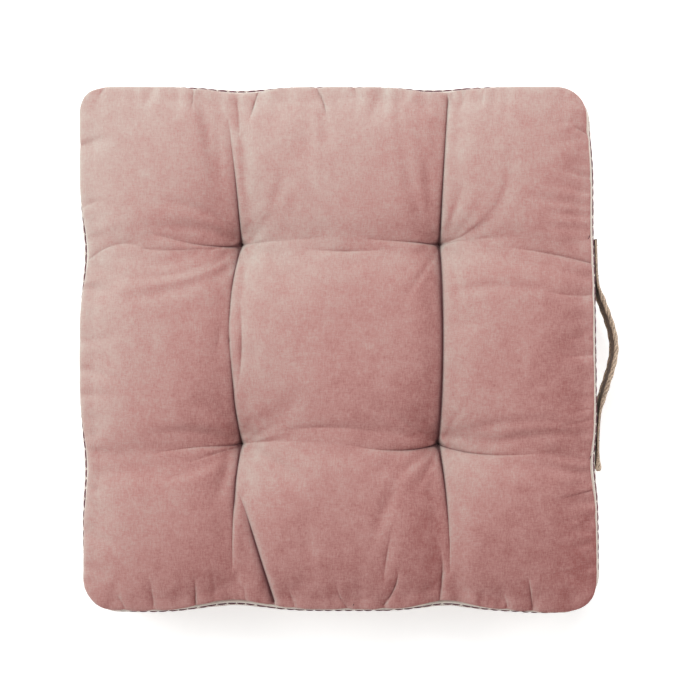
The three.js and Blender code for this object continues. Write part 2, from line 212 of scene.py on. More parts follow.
# Folds of the velvet, in the cushion's own plan. Each runs from x0, y0 past xm, ym to x1, y1, with its depth
# at those three points and its width on its left and right. Channels are the valleys between the pillows, and
# creases are sharp unless they are soft
Crease = namedtuple("Crease", "x0 y0 xm ym x1 y1 start middle end left right soft", defaults=[False])
CHANNELS = [
    Crease(-0.096, 0.103, -0.101, 0.170, -0.108, 0.249, 0.010, 0.009, 0.005, 0.020, 0.012, True),
    Crease(-0.096, 0.103, -0.105, 0.008, -0.096, -0.092, 0.010, 0.008, 0.010, 0.013, 0.017, True),
    Crease(-0.096, -0.092, -0.102, -0.160, -0.086, -0.246, 0.010, 0.009, 0.008, 0.013, 0.018, True),
    Crease(0.098, 0.102, 0.101, 0.172, 0.106, 0.249, 0.010, 0.009, 0.006, 0.018, 0.011, True),
    Crease(0.098, 0.102, 0.1005, 0.004, 0.097, -0.093, 0.010, 0.009, 0.010, 0.012, 0.017, True),
    Crease(0.097, -0.093, 0.103, -0.160, 0.103, -0.246, 0.010, 0.009, 0.007, 0.012, 0.017, True),
    Crease(-0.096, 0.103, -0.170, 0.098, -0.243, 0.094, 0.010, 0.006, 0.003, 0.014, 0.014, True),
    Crease(-0.096, 0.103, 0.001, 0.100, 0.098, 0.102, 0.010, 0.006, 0.010, 0.015, 0.015, True),
    Crease(0.098, 0.102, 0.170, 0.098, 0.244, 0.085, 0.010, 0.006, 0.003, 0.014, 0.014, True),
    Crease(-0.096, -0.092, -0.170, -0.103, -0.245, -0.116, 0.010, 0.005, 0.003, 0.014, 0.014, True),
    Crease(-0.096, -0.092, 0.001, -0.088, 0.097, -0.093, 0.008, 0.0035, 0.009, 0.015, 0.015, True),
    Crease(0.097, -0.093, 0.170, -0.100, 0.245, -0.108, 0.010, 0.006, 0.003, 0.014, 0.014, True),
]
CREASES = [
    # Between the tufts and out to the seam
    Crease(-0.096, 0.103, -0.101, 0.167, -0.108, 0.222, 0.007, 0.0050, 0.002, 0.009, 0.003),
    Crease(-0.096, 0.103, -0.105, 0.055, -0.1065, 0.008, 0.007, 0.005, 0.004, 0.003, 0.008),
    Crease(-0.1065, 0.010, -0.103, -0.042, -0.096, -0.092, 0.004, 0.006, 0.007, 0.003, 0.008),
    Crease(-0.096, 0.046, -0.0945, 0.000, -0.098, -0.040, 0.001, 0.004, 0.001, 0.003, 0.004),
    Crease(-0.112, 0.036, -0.117, 0.010, -0.118, -0.010, 0.000, 0.0025, 0.000, 0.003, 0.006),
    Crease(-0.096, -0.093, -0.1025, -0.148, -0.1035, -0.210, 0.007, 0.006, 0.0015, 0.0025, 0.008),
    Crease(-0.097, -0.138, -0.084, -0.178, -0.0635, -0.245, 0.001, 0.007, 0.008, 0.0025, 0.008),
    Crease(0.098, 0.102, 0.101, 0.172, 0.1057, 0.242, 0.008, 0.006, 0.005, 0.006, 0.0025),
    Crease(0.098, 0.102, 0.1005, 0.000, 0.0968, -0.093, 0.008, 0.007, 0.008, 0.003, 0.008),
    Crease(0.097, -0.093, 0.104, -0.145, 0.108, -0.214, 0.008, 0.006, 0.002, 0.0025, 0.007),
    Crease(0.097, -0.188, 0.0995, -0.217, 0.097, -0.246, 0.0005, 0.005, 0.005, 0.003, 0.005),
    Crease(-0.0965, 0.101, -0.140, 0.103, -0.188, 0.114, 0.007, 0.004, 0.0005, 0.003, 0.006),
    Crease(-0.112, 0.099, -0.150, 0.096, -0.190, 0.0975, 0.002, 0.003, 0.002, 0.004, 0.003),
    Crease(-0.186, 0.097, -0.214, 0.102, -0.243, 0.088, 0.001, 0.0025, 0.003, 0.004, 0.006),
    Crease(-0.105, 0.096, -0.150, 0.084, -0.236, 0.062, 0.003, 0.003, 0.001, 0.007, 0.007, True),
    Crease(-0.095, 0.103, -0.050, 0.106, -0.010, 0.1085, 0.004, 0.0015, 0.0005, 0.006, 0.004),
    Crease(-0.037, 0.0975, 0.005, 0.095, 0.052, 0.097, 0.0005, 0.004, 0.0005, 0.006, 0.003),
    Crease(0.022, 0.107, 0.058, 0.105, 0.097, 0.1025, 0.0005, 0.0035, 0.007, 0.005, 0.003),
    Crease(0.098, 0.102, 0.135, 0.107, 0.172, 0.108, 0.004, 0.002, 0.000, 0.008, 0.004),
    Crease(0.158, 0.099, 0.200, 0.0935, 0.244, 0.084, 0.0005, 0.004, 0.0045, 0.005, 0.003),
    Crease(-0.096, -0.093, -0.140, -0.095, -0.182, -0.101, 0.006, 0.003, 0.0005, 0.004, 0.004),
    Crease(-0.097, -0.096, -0.122, -0.1025, -0.150, -0.111, 0.004, 0.003, 0.0005, 0.003, 0.005),
    Crease(-0.068, -0.081, -0.015, -0.075, 0.042, -0.080, 0.0005, 0.0020, 0.0005, 0.003, 0.004),
    Crease(-0.095, -0.092, -0.050, -0.089, 0.005, -0.092, 0.003, 0.0015, 0.0005, 0.005, 0.005),
    Crease(0.008, -0.092, 0.055, -0.098, 0.097, -0.093, 0.0005, 0.0045, 0.007, 0.004, 0.004),
    Crease(0.097, -0.093, 0.142, -0.102, 0.206, -0.0995, 0.006, 0.004, 0.0005, 0.005, 0.003),
    # Pleats beside them
    Crease(-0.0963, 0.204, -0.0972, 0.219, -0.099, 0.240, 0.001, 0.003, 0.002, 0.004, 0.0025),
    Crease(-0.118, 0.160, -0.127, 0.207, -0.1345, 0.246, 0.0016, 0.0055, 0.0055, 0.004, 0.006, True),
    Crease(-0.112, 0.150, -0.117, 0.185, -0.120, 0.222, 0.0010, 0.0042, 0.0020, 0.003, 0.004, True),
    Crease(-0.089, 0.128, -0.091, 0.165, -0.0935, 0.205, 0.0016, 0.0038, 0.0020, 0.003, 0.004, True),
    Crease(-0.072, 0.125, -0.060, 0.150, -0.052, 0.180, 0.0008, 0.0028, 0.0000, 0.004, 0.005, True),
    Crease(-0.094, 0.110, -0.086, 0.140, -0.076, 0.178, 0.003, 0.003, 0.000, 0.006, 0.010, True),
    Crease(-0.087, 0.220, -0.084, 0.233, -0.0795, 0.249, 0.0005, 0.004, 0.0045, 0.004, 0.003),
    Crease(-0.0135, 0.222, -0.0145, 0.236, -0.0215, 0.252, 0.0005, 0.0040, 0.0035, 0.003, 0.003),
    Crease(-0.012, 0.188, -0.0122, 0.206, -0.0138, 0.226, 0.000, 0.0022, 0.0020, 0.005, 0.004, True),
    Crease(-0.036, 0.165, -0.030, 0.200, -0.0315, 0.236, 0.000, 0.003, 0.0005, 0.010, 0.005, True),
    Crease(0.090, 0.160, 0.082, 0.195, 0.074, 0.228, 0.000, 0.0015, 0.0005, 0.004, 0.004, True),
    Crease(0.098, 0.103, 0.142, 0.128, 0.163, 0.172, 0.003, 0.0020, 0.0003, 0.006, 0.0035),
    Crease(-0.032, -0.155, -0.030, -0.190, -0.024, -0.232, 0.000, 0.003, 0.0005, 0.005, 0.012, True),
    Crease(0.052, -0.168, 0.0455, -0.200, 0.043, -0.226, 0.0005, 0.0035, 0.001, 0.004, 0.005),
    Crease(0.0565, -0.212, 0.054, -0.229, 0.0435, -0.248, 0.001, 0.005, 0.004, 0.003, 0.004),
    # Long soft wrinkles that the tufts draw across the pillows
    Crease(-0.104, 0.110, -0.150, 0.118, -0.205, 0.117, 0.0045, 0.0035, 0.0000, 0.003, 0.004, True),
    Crease(-0.104, 0.117, -0.140, 0.137, -0.182, 0.142, 0.0040, 0.0030, 0.0000, 0.004, 0.003, True),
    Crease(-0.112, 0.090, -0.160, 0.073, -0.222, 0.070, 0.0045, 0.0038, 0.0010, 0.004, 0.003, True),
    Crease(-0.110, 0.080, -0.160, 0.058, -0.228, 0.049, 0.0035, 0.0032, 0.0006, 0.005, 0.004, True),
    Crease(-0.104, -0.086, -0.150, -0.079, -0.196, -0.084, 0.0042, 0.0030, 0.0000, 0.004, 0.003, True),
    Crease(-0.106, -0.101, -0.148, -0.120, -0.190, -0.126, 0.0034, 0.0024, 0.0000, 0.003, 0.005, True),
    Crease(0.106, -0.086, 0.150, -0.072, 0.208, -0.0685, 0.0018, 0.0024, 0.0014, 0.003, 0.004, True),
    Crease(0.138, -0.094, 0.184, -0.0835, 0.234, -0.0835, 0.0006, 0.0036, 0.0024, 0.003, 0.004, True),
    Crease(0.186, -0.101, 0.213, -0.103, 0.240, -0.108, 0.0006, 0.0034, 0.0028, 0.003, 0.004, True),
    Crease(0.200, -0.111, 0.229, -0.119, 0.246, -0.1175, 0.0006, 0.0038, 0.0038, 0.003, 0.004, True),
    Crease(0.110, 0.054, 0.138, 0.0605, 0.192, 0.0590, 0.0006, 0.0024, 0.0014, 0.003, 0.004, True),
    Crease(0.172, 0.150, 0.212, 0.1435, 0.244, 0.1410, 0.0000, 0.0030, 0.0030, 0.003, 0.003, True),
    Crease(0.196, 0.134, 0.220, 0.1310, 0.244, 0.1300, 0.0000, 0.0028, 0.0026, 0.003, 0.003, True),
    Crease(0.190, 0.120, 0.218, 0.1175, 0.244, 0.1170, 0.0000, 0.0022, 0.0022, 0.003, 0.003, True),
    Crease(0.062, -0.120, 0.045, -0.152, 0.030, -0.196, 0.0004, 0.0032, 0.0006, 0.005, 0.004, True),
    Crease(0.106, 0.118, 0.116, 0.148, 0.118, 0.180, 0.0014, 0.0026, 0.0004, 0.004, 0.005, True),
    Crease(0.114, 0.110, 0.152, 0.134, 0.1665, 0.190, 0.0008, 0.0026, 0.0010, 0.004, 0.005, True),
    Crease(0.092, 0.128, 0.086, 0.158, 0.084, 0.200, 0.0012, 0.0028, 0.0008, 0.003, 0.004, True),
    Crease(0.083, 0.120, 0.068, 0.160, 0.060, 0.212, 0.0006, 0.0026, 0.0008, 0.004, 0.004, True),
    # Puckers at the seam
    Crease(-0.1425, 0.230, -0.1425, 0.240, -0.142, 0.250, 0.000, 0.003, 0.003, 0.003, 0.003),
    Crease(-0.236, 0.243, -0.232, 0.249, -0.227, 0.255, 0.001, 0.003, 0.002, 0.003, 0.003),
    Crease(0.024, 0.241, 0.021, 0.246, 0.014, 0.253, 0.0005, 0.002, 0.002, 0.003, 0.003),
    Crease(0.1385, 0.232, 0.1387, 0.240, 0.140, 0.251, 0.000, 0.0015, 0.002, 0.003, 0.003),
    Crease(0.222, 0.219, 0.232, 0.214, 0.245, 0.2075, 0.000, 0.003, 0.004, 0.005, 0.003),
    Crease(0.230, 0.169, 0.237, 0.166, 0.245, 0.163, 0.000, 0.002, 0.003, 0.004, 0.003),
    Crease(0.221, 0.1535, 0.232, 0.153, 0.245, 0.1517, 0.000, 0.0015, 0.0015, 0.004, 0.004),
    Crease(0.192, 0.059, 0.221, 0.0525, 0.245, 0.0534, 0.000, 0.0025, 0.0025, 0.005, 0.004),
    Crease(0.222, 0.010, 0.232, 0.011, 0.244, 0.014, 0.000, 0.0015, 0.0015, 0.004, 0.004),
    Crease(0.216, -0.0066, 0.228, -0.0065, 0.244, -0.0057, 0.000, 0.0015, 0.0015, 0.004, 0.004),
    Crease(0.2196, -0.0645, 0.231, -0.060, 0.245, -0.058, 0.000, 0.0015, 0.0015, 0.004, 0.004),
    Crease(0.2047, -0.0756, 0.229, -0.072, 0.246, -0.068, 0.000, 0.0015, 0.002, 0.004, 0.004),
    Crease(0.214, -0.1446, 0.229, -0.141, 0.246, -0.137, 0.001, 0.003, 0.004, 0.004, 0.006),
    Crease(0.229, -0.169, 0.237, -0.167, 0.247, -0.163, 0.000, 0.002, 0.0025, 0.004, 0.005),
    Crease(0.182, -0.218, 0.185, -0.233, 0.1875, -0.250, 0.0005, 0.004, 0.0045, 0.0025, 0.006),
    Crease(0.160, -0.236, 0.161, -0.243, 0.163, -0.250, 0.0005, 0.0025, 0.003, 0.003, 0.003),
    Crease(-0.0025, -0.226, 0.0005, -0.240, 0.0065, -0.250, 0.0005, 0.0035, 0.003, 0.003, 0.004),
    Crease(-0.050, -0.230, -0.0475, -0.238, -0.044, -0.249, 0.0005, 0.0025, 0.003, 0.003, 0.003),
    Crease(-0.094, -0.228, -0.0925, -0.235, -0.091, -0.244, 0.0005, 0.0025, 0.003, 0.003, 0.003),
    Crease(-0.141, -0.218, -0.140, -0.232, -0.1405, -0.248, 0.0005, 0.004, 0.0045, 0.004, 0.003),
    Crease(-0.125, -0.210, -0.122, -0.224, -0.121, -0.240, 0.000, 0.002, 0.001, 0.004, 0.004),
    Crease(-0.183, -0.221, -0.182, -0.234, -0.1805, -0.248, 0.000, 0.0025, 0.003, 0.003, 0.004),
    Crease(-0.216, -0.236, -0.213, -0.243, -0.209, -0.250, 0.000, 0.0025, 0.003, 0.003, 0.003),
    Crease(-0.226, 0.145, -0.238, 0.143, -0.250, 0.137, 0.000, 0.0015, 0.002, 0.004, 0.004),
    Crease(-0.222, 0.205, -0.236, 0.204, -0.249, 0.199, 0.000, 0.001, 0.0015, 0.004, 0.004),
    Crease(-0.226, -0.137, -0.236, -0.1355, -0.246, -0.131, 0.000, 0.002, 0.002, 0.004, 0.004),
    Crease(-0.228, -0.083, -0.238, -0.082, -0.248, -0.079, 0.000, 0.001, 0.001, 0.004, 0.004),
]
CURVE_STEPS = 14
LIP_SHARE = 0.22  # height of the lip beside a sharp crease, as a share of its depth
LIP_AT = 2.6  # its place, in widths of the crease on that side
LIP_WIDTH = 1.3
REACH = 6  # widths past which a fold isn't felt
SOFTNESS = 1.5  # reach of a soft fold, in its widths
BLEND = 3  # folds that meet share their depth as a power mean of this order
GATHER_SHARE = 0.55  # how much of its distance the velvet beside a sharp crease is drawn in to it
GATHER_REACH, GATHER_FULL = 0.006, 0.003  # how far off that is felt, and the depth from which it is full
SHADE_DEPTH, SHADE_POWER = 0.0055, 3.2  # depth at which a crease gets its full painted shade, and how narrow its painted dark line is
FINE_BESIDE = [(0.0035, 0.0), (0.0013, 0.0055)]  # the mesh is finer this near creases of at least this depth

# Small soft folds: how many, the least and most of their sizes, and how uneven they are
GATHERS = 170
GATHER_LONG, GATHER_DEEP, GATHER_WIDE = (0.014, 0.050), (0.0006, 0.0026), (0.0018, 0.0036)
GATHER_LEAN, GATHER_WANDER = 0.35, 0.002
TUFT_FOLDS = 23
TUFT_FOLD_LONG, TUFT_FOLD_DEEP, TUFT_FOLD_WIDE = (0.028, 0.080), (0.0008, 0.0026), (0.0013, 0.0026)
TUFT_FOLD_START, TUFT_FOLD_BEND, TUFT_FOLD_STRAY = (0.004, 0.012), 0.2, 0.8

# Places where the nap lies lighter, as soft folds whose depth is how light they are
SCUFFS = [
    Crease(-0.205, 0.185, -0.190, 0.172, -0.178, 0.158, 0.0, 0.7, 0.0, 0.0022, 0.0022, True),
    Crease(-0.020, 0.185, -0.022, 0.160, -0.020, 0.135, 0.0, 0.5, 0.0, 0.0025, 0.0025, True),
    Crease(0.158, 0.196, 0.163, 0.178, 0.164, 0.160, 0.0, 0.6, 0.0, 0.0022, 0.0022, True),
    Crease(-0.180, 0.035, -0.176, 0.010, -0.180, -0.020, 0.0, 0.5, 0.0, 0.0025, 0.0025, True),
    Crease(0.012, 0.020, 0.026, 0.004, 0.038, -0.004, 0.0, 0.5, 0.0, 0.0022, 0.0022, True),
    Crease(0.182, 0.010, 0.180, -0.012, 0.184, -0.034, 0.0, 0.5, 0.0, 0.0025, 0.0025, True),
]

RIM_SHEEN, RIM_REACH = 0.35, 0.014  # painted sheen: how much lighter the velvet is painted along the seam, and how far in

# Mesh of the velvet
WELD = 1e-5
HALF_UP = 0.04  # parts the top from the base
SMOOTH_TIMES = 3
START_SMOOTH, REFINED_SMOOTH, FILLED_SMOOTH = 0.004, 0.003, 0.010  # how far over the seam each starts
REFINE_UNDER, FINE_UNDER = 0.012, 0.006  # how far under the seam the finer meshes start
FILL_FADE, CREASE_FADE = 0.012, 0.008  # height over which filling and creases fade out down the roll

# How near a thread the velvet's height is read, and how far threads and tacks stand off what they lie on
PIT_NEAR, DOT_NEAR, TACK_NEAR = 0.003, 0.004, 0.003
THREAD_OFF, TACK_OFF = 0.0003, 0.0002

# Floor, which curves up into a backdrop past its flat part, sky and lights
FLOOR_FLAT, FLOOR_RISE, FLOOR_GAP = 4.0, 0.07, 0.0002
FLOOR_SIZE, FLOOR_STEPS = 12, 48
FLOOR_COLOR, FLOOR_GLOW = (0.93, 0.93, 0.93, 1), 0.42
SKY_COLOR, SKY_STRENGTH = (1, 0.99, 0.98, 1), 0.355
Lamp = namedtuple("Lamp", "name size place")
LAMPS = [
    Lamp("key", 1.1, (-1.9, 0.55, 1.75)),
    Lamp("fill", 0.8, (0.25, 0.9, 1.5)),
    Lamp("side", 1.0, (1.9, 0.3, 1.1)),
]
CAMERA_ASIDE, CAMERA_BACK, VIEW_LEVEL = 0.00096, -0.00099, 0.08
WAVE = math.pi / 10  # scale of a wave texture whose bands are one metre apart


def bell(away, reach):
    """1 where there is no distance, falling off to 0 past the reach."""
    return np.exp(-((away / reach) ** 2))


def rising(value, start, length):
    """0 up to the start, rising evenly to 1 over the length."""
    return np.clip((value - start) / length, 0, 1)


def eased(share):
    return share * share * (3 - 2 * share)


def drawn_in(side, at):
    return sum(row.depth * bell(at - row.at, row.reach) for row in DRAWN_IN if row.side == side)


def outline_at(x, y):
    """Half width and half length of the seam line, its corner radius, and how far x and y are drawn in."""
    slant = np.where(x > 0, RIGHT_SIDE_SLANT * (1 + y / SLANT_REACH), 0)
    in_x = np.where(x > 0, drawn_in("right", y), drawn_in("left", y))
    in_y = np.where(y > 0, drawn_in("back", x), drawn_in("front", x))
    half_x = SEAM_HALF_WIDTH - slant - in_x
    half_y = np.where(y > 0, SEAM_HALF_BACK, SEAM_HALF_FRONT) - in_y
    back = np.where(x > 0, RADIUS_BACK_RIGHT, RADIUS_BACK_LEFT)
    front = np.where(x > 0, RADIUS_FRONT_RIGHT, RADIUS_FRONT_LEFT)
    return half_x, half_y, np.where(y > 0, back, front), in_x, in_y


def near_corner(x, y, half_x, half_y, reach):
    """1 at the corners of a rectangle with these half sizes, falling off to 0 past the reach."""
    return bell(np.hypot(half_x - np.abs(x), half_y - np.abs(y)), reach)


def off_corner(x, y):
    """0 at the seam line's corners, rising to 1 away from them."""
    return 1 - near_corner(x, y, *outline_at(x, y)[:2], CORNER_REACH)


def seam_distance(x, y):
    """How far points lie inside the seam line, and how far it is drawn in beside them."""
    half_x, half_y, radius, in_x, in_y = outline_at(x, y)
    past_x, past_y = np.abs(x) - half_x + radius, np.abs(y) - half_y + radius
    round_corner = np.hypot(np.maximum(past_x, 0), np.maximum(past_y, 0))
    in_corner = (past_x > 0) & (past_y > 0)
    inside = radius - np.where(in_corner, round_corner, np.maximum(past_x, past_y))
    return inside, np.where(past_x > past_y, in_x, in_y) * off_corner(x, y)


def bulge(across):
    """How full the band is from one of its edges, 0, to the other, 1."""
    return 1 - np.abs(2 * across - 1) ** BAND_FULLNESS


def band_out(across):
    """How far the band stands out of the seam line, from its lower edge, 0, to its upper one, 1."""
    return BAND_EDGE_OUT + (BAND_BULGE - BAND_EDGE_OUT) * bulge(across)


class SeamLine:
    """The top seam's line in the frame, along its length from the front right corner, anticlockwise."""

    def __init__(self):
        place = np.arange(SEAM_SAMPLES) * 8 / SEAM_SAMPLES
        u = np.interp(place, (0, 2, 4, 6, 8), (1, 1, -1, -1, 1))
        v = np.interp(place, (0, 2, 4, 6, 8), (-1, 1, 1, -1, -1))
        half_x, half_y, radius, in_x, in_y = outline_at(u * SEAM_HALF_WIDTH, v * SEAM_HALF_BACK)
        core_x, core_y = half_x - radius, half_y - radius
        past_x, past_y = np.abs(u) * half_x - core_x, np.abs(v) * half_y - core_y
        in_corner = (past_x > 0) & (past_y > 0)
        pull = np.where(in_corner, radius / np.hypot(past_x, past_y), 1)
        x, y = core_x + past_x * pull, core_y + past_y * pull
        drawn = np.where(np.abs(u) > np.abs(v), in_x, in_y)
        self.drawn = drawn * (1 - near_corner(x, y, half_x, half_y, CORNER_REACH))
        self.tucked = near_corner(x, y, half_x, half_y, TUCK_REACH)
        x, y = np.copysign(x, u), np.copysign(y, v)
        low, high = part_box("top_piping")
        self.shift_x = (low.x + high.x - x.min() - x.max()) / 2
        self.shift_y = (low.y + high.y - SEAM_HALF_BACK + SEAM_HALF_FRONT) / 2
        self.x, self.y = x + self.shift_x, y + self.shift_y
        steps = np.hypot(np.roll(x, -1) - x, np.roll(y, -1) - y)
        self.length = steps.sum()
        self.along = np.cumsum(steps) - steps
        ahead_x, ahead_y = np.roll(x, -1) - np.roll(x, 1), np.roll(y, -1) - np.roll(y, 1)
        size = np.hypot(ahead_x, ahead_y)
        self.out_x, self.out_y = ahead_y / size, -ahead_x / size

    def at(self, column, along):
        return np.interp(along, self.along, column, period=self.length)

    def bend(self, points):
        """Bends a strip that runs along x, with y outwards and z up, round the cushion."""
        along, out, up = points.T
        drawn = self.at(self.drawn, along)
        share = np.clip((BAND_TOP - up) / BAND_HEIGHT, 0, 1)
        out = out + (1 - BAND_DRAWN_SHARE) * drawn * bulge(share)
        x = self.at(self.x, along) + self.at(self.out_x, along) * out
        y = self.at(self.y, along) + self.at(self.out_y, along) * out
        return np.stack([x, y, up - SEAM_DIP_SHARE * drawn * (1 - share)], axis=1)


SEAM = SeamLine()


def link(name, data):
    made = bpy.data.objects.new(name, data)
    bpy.context.scene.collection.objects.link(made)
    return made


def piece_of(name, shape):
    """Makes a piece of a shape that is done."""
    mesh = bpy.data.meshes.new(name)
    shape.to_mesh(mesh)
    shape.free()
    mesh.shade_smooth()
    return link(name, mesh)


def opened(piece):
    """The piece's mesh, open to the mesh operators."""
    shape = bmesh.new()
    shape.from_mesh(piece.data)
    return shape


def put_back(shape, piece):
    shape.to_mesh(piece.data)
    shape.free()


def points_of(piece):
    points = np.empty(len(piece.data.vertices) * 3)
    piece.data.vertices.foreach_get("co", points)
    return points.reshape(-1, 3)


def set_points(piece, points):
    piece.data.vertices.foreach_set("co", np.asarray(points, np.float32).ravel())
    piece.data.update()


def set_values(piece, name, values):
    """Keeps a value for each point of the piece, for its finish."""
    column = piece.data.attributes.new(name, "FLOAT", "POINT")
    column.data.foreach_set("value", values.astype(np.float32))


def bake_modifiers(piece):
    """Puts what the modifiers make into the mesh itself."""
    evaluated = piece.evaluated_get(bpy.context.evaluated_depsgraph_get())
    mesh = bpy.data.meshes.new_from_object(evaluated)
    old = piece.data
    piece.modifiers.clear()
    piece.data = mesh
    bpy.data.meshes.remove(old)


def along_fold(row, x, y):
    """Where points lie beside a fold: the share of its length, the distance, if left, and the way to it."""
    t = np.linspace(0, 1, CURVE_STEPS + 1)[:, None]
    ends = np.array([[row.x0, row.y0], [row.xm, row.ym], [row.x1, row.y1]])
    curve = np.hstack([(1 - t) * (1 - 2 * t), 4 * t * (1 - t), t * (2 * t - 1)]) @ ends
    share, away, left = np.zeros_like(x), np.full_like(x, np.inf), np.zeros_like(x, bool)
    way = np.zeros((len(x), 2))
    for step, (start, end) in enumerate(zip(curve, curve[1:])):
        run = end - start
        ahead = np.clip(((x - start[0]) * run[0] + (y - start[1]) * run[1]) / (run @ run), 0, 1)
        dx, dy = x - start[0] - ahead * run[0], y - start[1] - ahead * run[1]
        distance = np.hypot(dx, dy)
        nearer = distance < away
        share[nearer] = (step + ahead[nearer]) / CURVE_STEPS
        away[nearer] = distance[nearer]
        left[nearer] = (run[0] * dy - run[1] * dx)[nearer] > 0
        way[nearer] = -np.stack([dx, dy], axis=1)[nearer]
    return share, away, left, way


def near_fold(row, x, y):
    reach = REACH * max(row.left, row.right)
    xs, ys = (row.x0, row.xm, row.x1), (row.y0, row.ym, row.y1)
    return (x > min(xs) - reach) & (x < max(xs) + reach) & (y > min(ys) - reach) & (y < max(ys) + reach)


def fold_depth(folds, x, y):
    """How deep the folds are at points of the own plan, their lips, and how they gather the velvet in."""
    total, lips = np.zeros_like(x), np.zeros_like(x)
    gather, pulls = np.zeros((len(x), 2)), np.zeros_like(x)
    for row in folds:
        near = near_fold(row, x, y)
        share, away, left, way = along_fold(row, x[near], y[near])
        width = np.where(left, row.left, row.right)
        depth = np.interp(share, (0, 0.5, 1), (row.start, row.middle, row.end))
        if row.soft:
            total[near] += (depth * bell(away, SOFTNESS * width)) ** BLEND
            continue
        total[near] += (depth * np.exp(-away / width)) ** BLEND
        lip = LIP_SHARE * (1 - width / (row.left + row.right))
        lips[near] += depth * lip * bell(away / width - LIP_AT, LIP_WIDTH)
        pull = bell(away, GATHER_REACH) * np.minimum(depth / GATHER_FULL, 1)
        gather[near] += GATHER_SHARE * pull[:, None] * way
        pulls[near] += pull
    gather /= np.maximum(pulls, 1)[:, None]
    return total ** (1 / BLEND), lips, gather


def gathers(seed):
    """Small soft folds in from the seam and out from the tufts, as uneven as hand sewing leaves them."""
    dice = random.Random(seed)
    rows = []
    for _ in range(GATHERS):
        along = dice.uniform(0, SEAM.length)
        x, y = SEAM.at(SEAM.x, along) - SEAM.shift_x, SEAM.at(SEAM.y, along) - SEAM.shift_y
        out_x, out_y = SEAM.at(SEAM.out_x, along), SEAM.at(SEAM.out_y, along)
        reach, lean = dice.uniform(*GATHER_LONG), dice.uniform(-GATHER_LEAN, GATHER_LEAN)
        deep = dice.uniform(*GATHER_DEEP)
        end_x, end_y = x - reach * (out_x - lean * out_y), y - reach * (out_y + lean * out_x)
        mid_x = (x + end_x) / 2 + dice.uniform(-GATHER_WANDER, GATHER_WANDER)
        mid_y = (y + end_y) / 2 + dice.uniform(-GATHER_WANDER, GATHER_WANDER)
        wide = dice.uniform(*GATHER_WIDE)
        rows.append(Crease(x, y, mid_x, mid_y, end_x, end_y, deep, 0.6 * deep, 0, wide, 1.4 * wide, True))
    for tuft in TUFTS:
        for number in range(TUFT_FOLDS):
            turn = 2 * math.pi * (number + dice.uniform(0, TUFT_FOLD_STRAY)) / TUFT_FOLDS
            near, far = dice.uniform(*TUFT_FOLD_START), dice.uniform(*TUFT_FOLD_LONG)
            deep = dice.uniform(*TUFT_FOLD_DEEP)
            bent = turn + dice.uniform(-TUFT_FOLD_BEND, TUFT_FOLD_BEND)
            places = []
            for way, reach in ((turn, near), (bent, 0.5 * far), (2 * bent - turn, far)):
                places += [tuft.x + reach * math.cos(way), tuft.y + reach * math.sin(way)]
            wide = dice.uniform(*TUFT_FOLD_WIDE)
            rows.append(Crease(*places, deep, 0.7 * deep, 0, wide, 1.5 * wide, True))
    return rows


def tuft_distance(x, y):
    return np.min([np.hypot(x - tuft.x, y - tuft.y) for tuft in TUFTS], axis=0)


def cone_depth(x, y):
    """How deep the tufts pull the filling down."""
    aways = [np.hypot(x - tuft.x, y - tuft.y) for tuft in TUFTS]
    cones = [tuft.deep * np.exp(-((away / CONE_REACH) ** CONE_POWER)) for tuft, away in zip(TUFTS, aways)]
    return np.max(cones, axis=0)


def top_height(x, y):
    """Height of the filled top at points of the cushion's own plan, before it is creased."""
    inside, drawn = seam_distance(x, y)
    half_x, half_y = outline_at(x, y)[:2]
    from_side = rising(half_x - np.abs(x), SHOULDER_IN, CROWN_REACH)
    from_end = rising(half_y - np.abs(y), SHOULDER_IN, CROWN_REACH)
    crown = (1 - (1 - from_side) ** 2) * (1 - (1 - from_end) ** 2)
    rise = SHOULDER_RISE + (CROWN_RISE - SHOULDER_RISE) * crown
    fade = rising(inside, SHOULDER_IN, SEAM_FADE)
    valleys = fold_depth(CHANNELS, x, y)[0] * (CHANNEL_AT_SEAM + (1 - CHANNEL_AT_SEAM) * fade)
    return SEAM_HEIGHT + rise - SEAM_DIP_SHARE * drawn * (1 - fade) - valleys - cone_depth(x, y)


def puffed(way):
    """How far the velvet puffs out on a side or corner that faces this way, easing between the rows."""
    place = np.interp(way, [row.way for row in PUFFS], np.arange(len(PUFFS)))
    before = np.minimum(place.astype(int), len(PUFFS) - 2)
    out = np.array([row.out for row in PUFFS])
    return out[before] + eased(place - before) * (out[before + 1] - out[before])


def wrapped(name, shape):
    """Makes a piece of a strip that runs along x, bent round the cushion."""
    piece = piece_of(name, shape)
    set_points(piece, SEAM.bend(points_of(piece)))
    return piece


def lay_uv(shape, across):
    """Gives each corner of the strip its place along x and across it, in metres."""
    layer = shape.loops.layers.uv.new("UVMap")
    for face in shape.faces:
        for loop in face.loops:
            loop[layer].uv = (loop.vert.co.x, across(loop.vert.co))


def close_strip(piece):
    """Sews the two ends of a strip that runs all round the cushion."""
    shape = opened(piece)
    bmesh.ops.remove_doubles(shape, verts=shape.verts, dist=WELD)
    bmesh.ops.recalc_face_normals(shape, faces=shape.faces)
    put_back(shape, piece)


def thicken(piece, thickness):
    """Gives a sheet its thickness."""
    shape = opened(piece)
    bmesh.ops.solidify(shape, geom=shape.faces[:], thickness=thickness)
    bmesh.ops.recalc_face_normals(shape, faces=shape.faces)
    put_back(shape, piece)


def node(tree, kind, inputs=None, **settings):
    """Adds a node, whose inputs are each a value or a socket."""
    made = tree.nodes.new("ShaderNode" + kind)
    for name, value in settings.items():
        setattr(made, name, value)
    for name, value in (inputs or {}).items():
        if isinstance(value, bpy.types.NodeSocket):
            tree.links.new(value, made.inputs[name])
        else:
            made.inputs[name].default_value = value
    return made


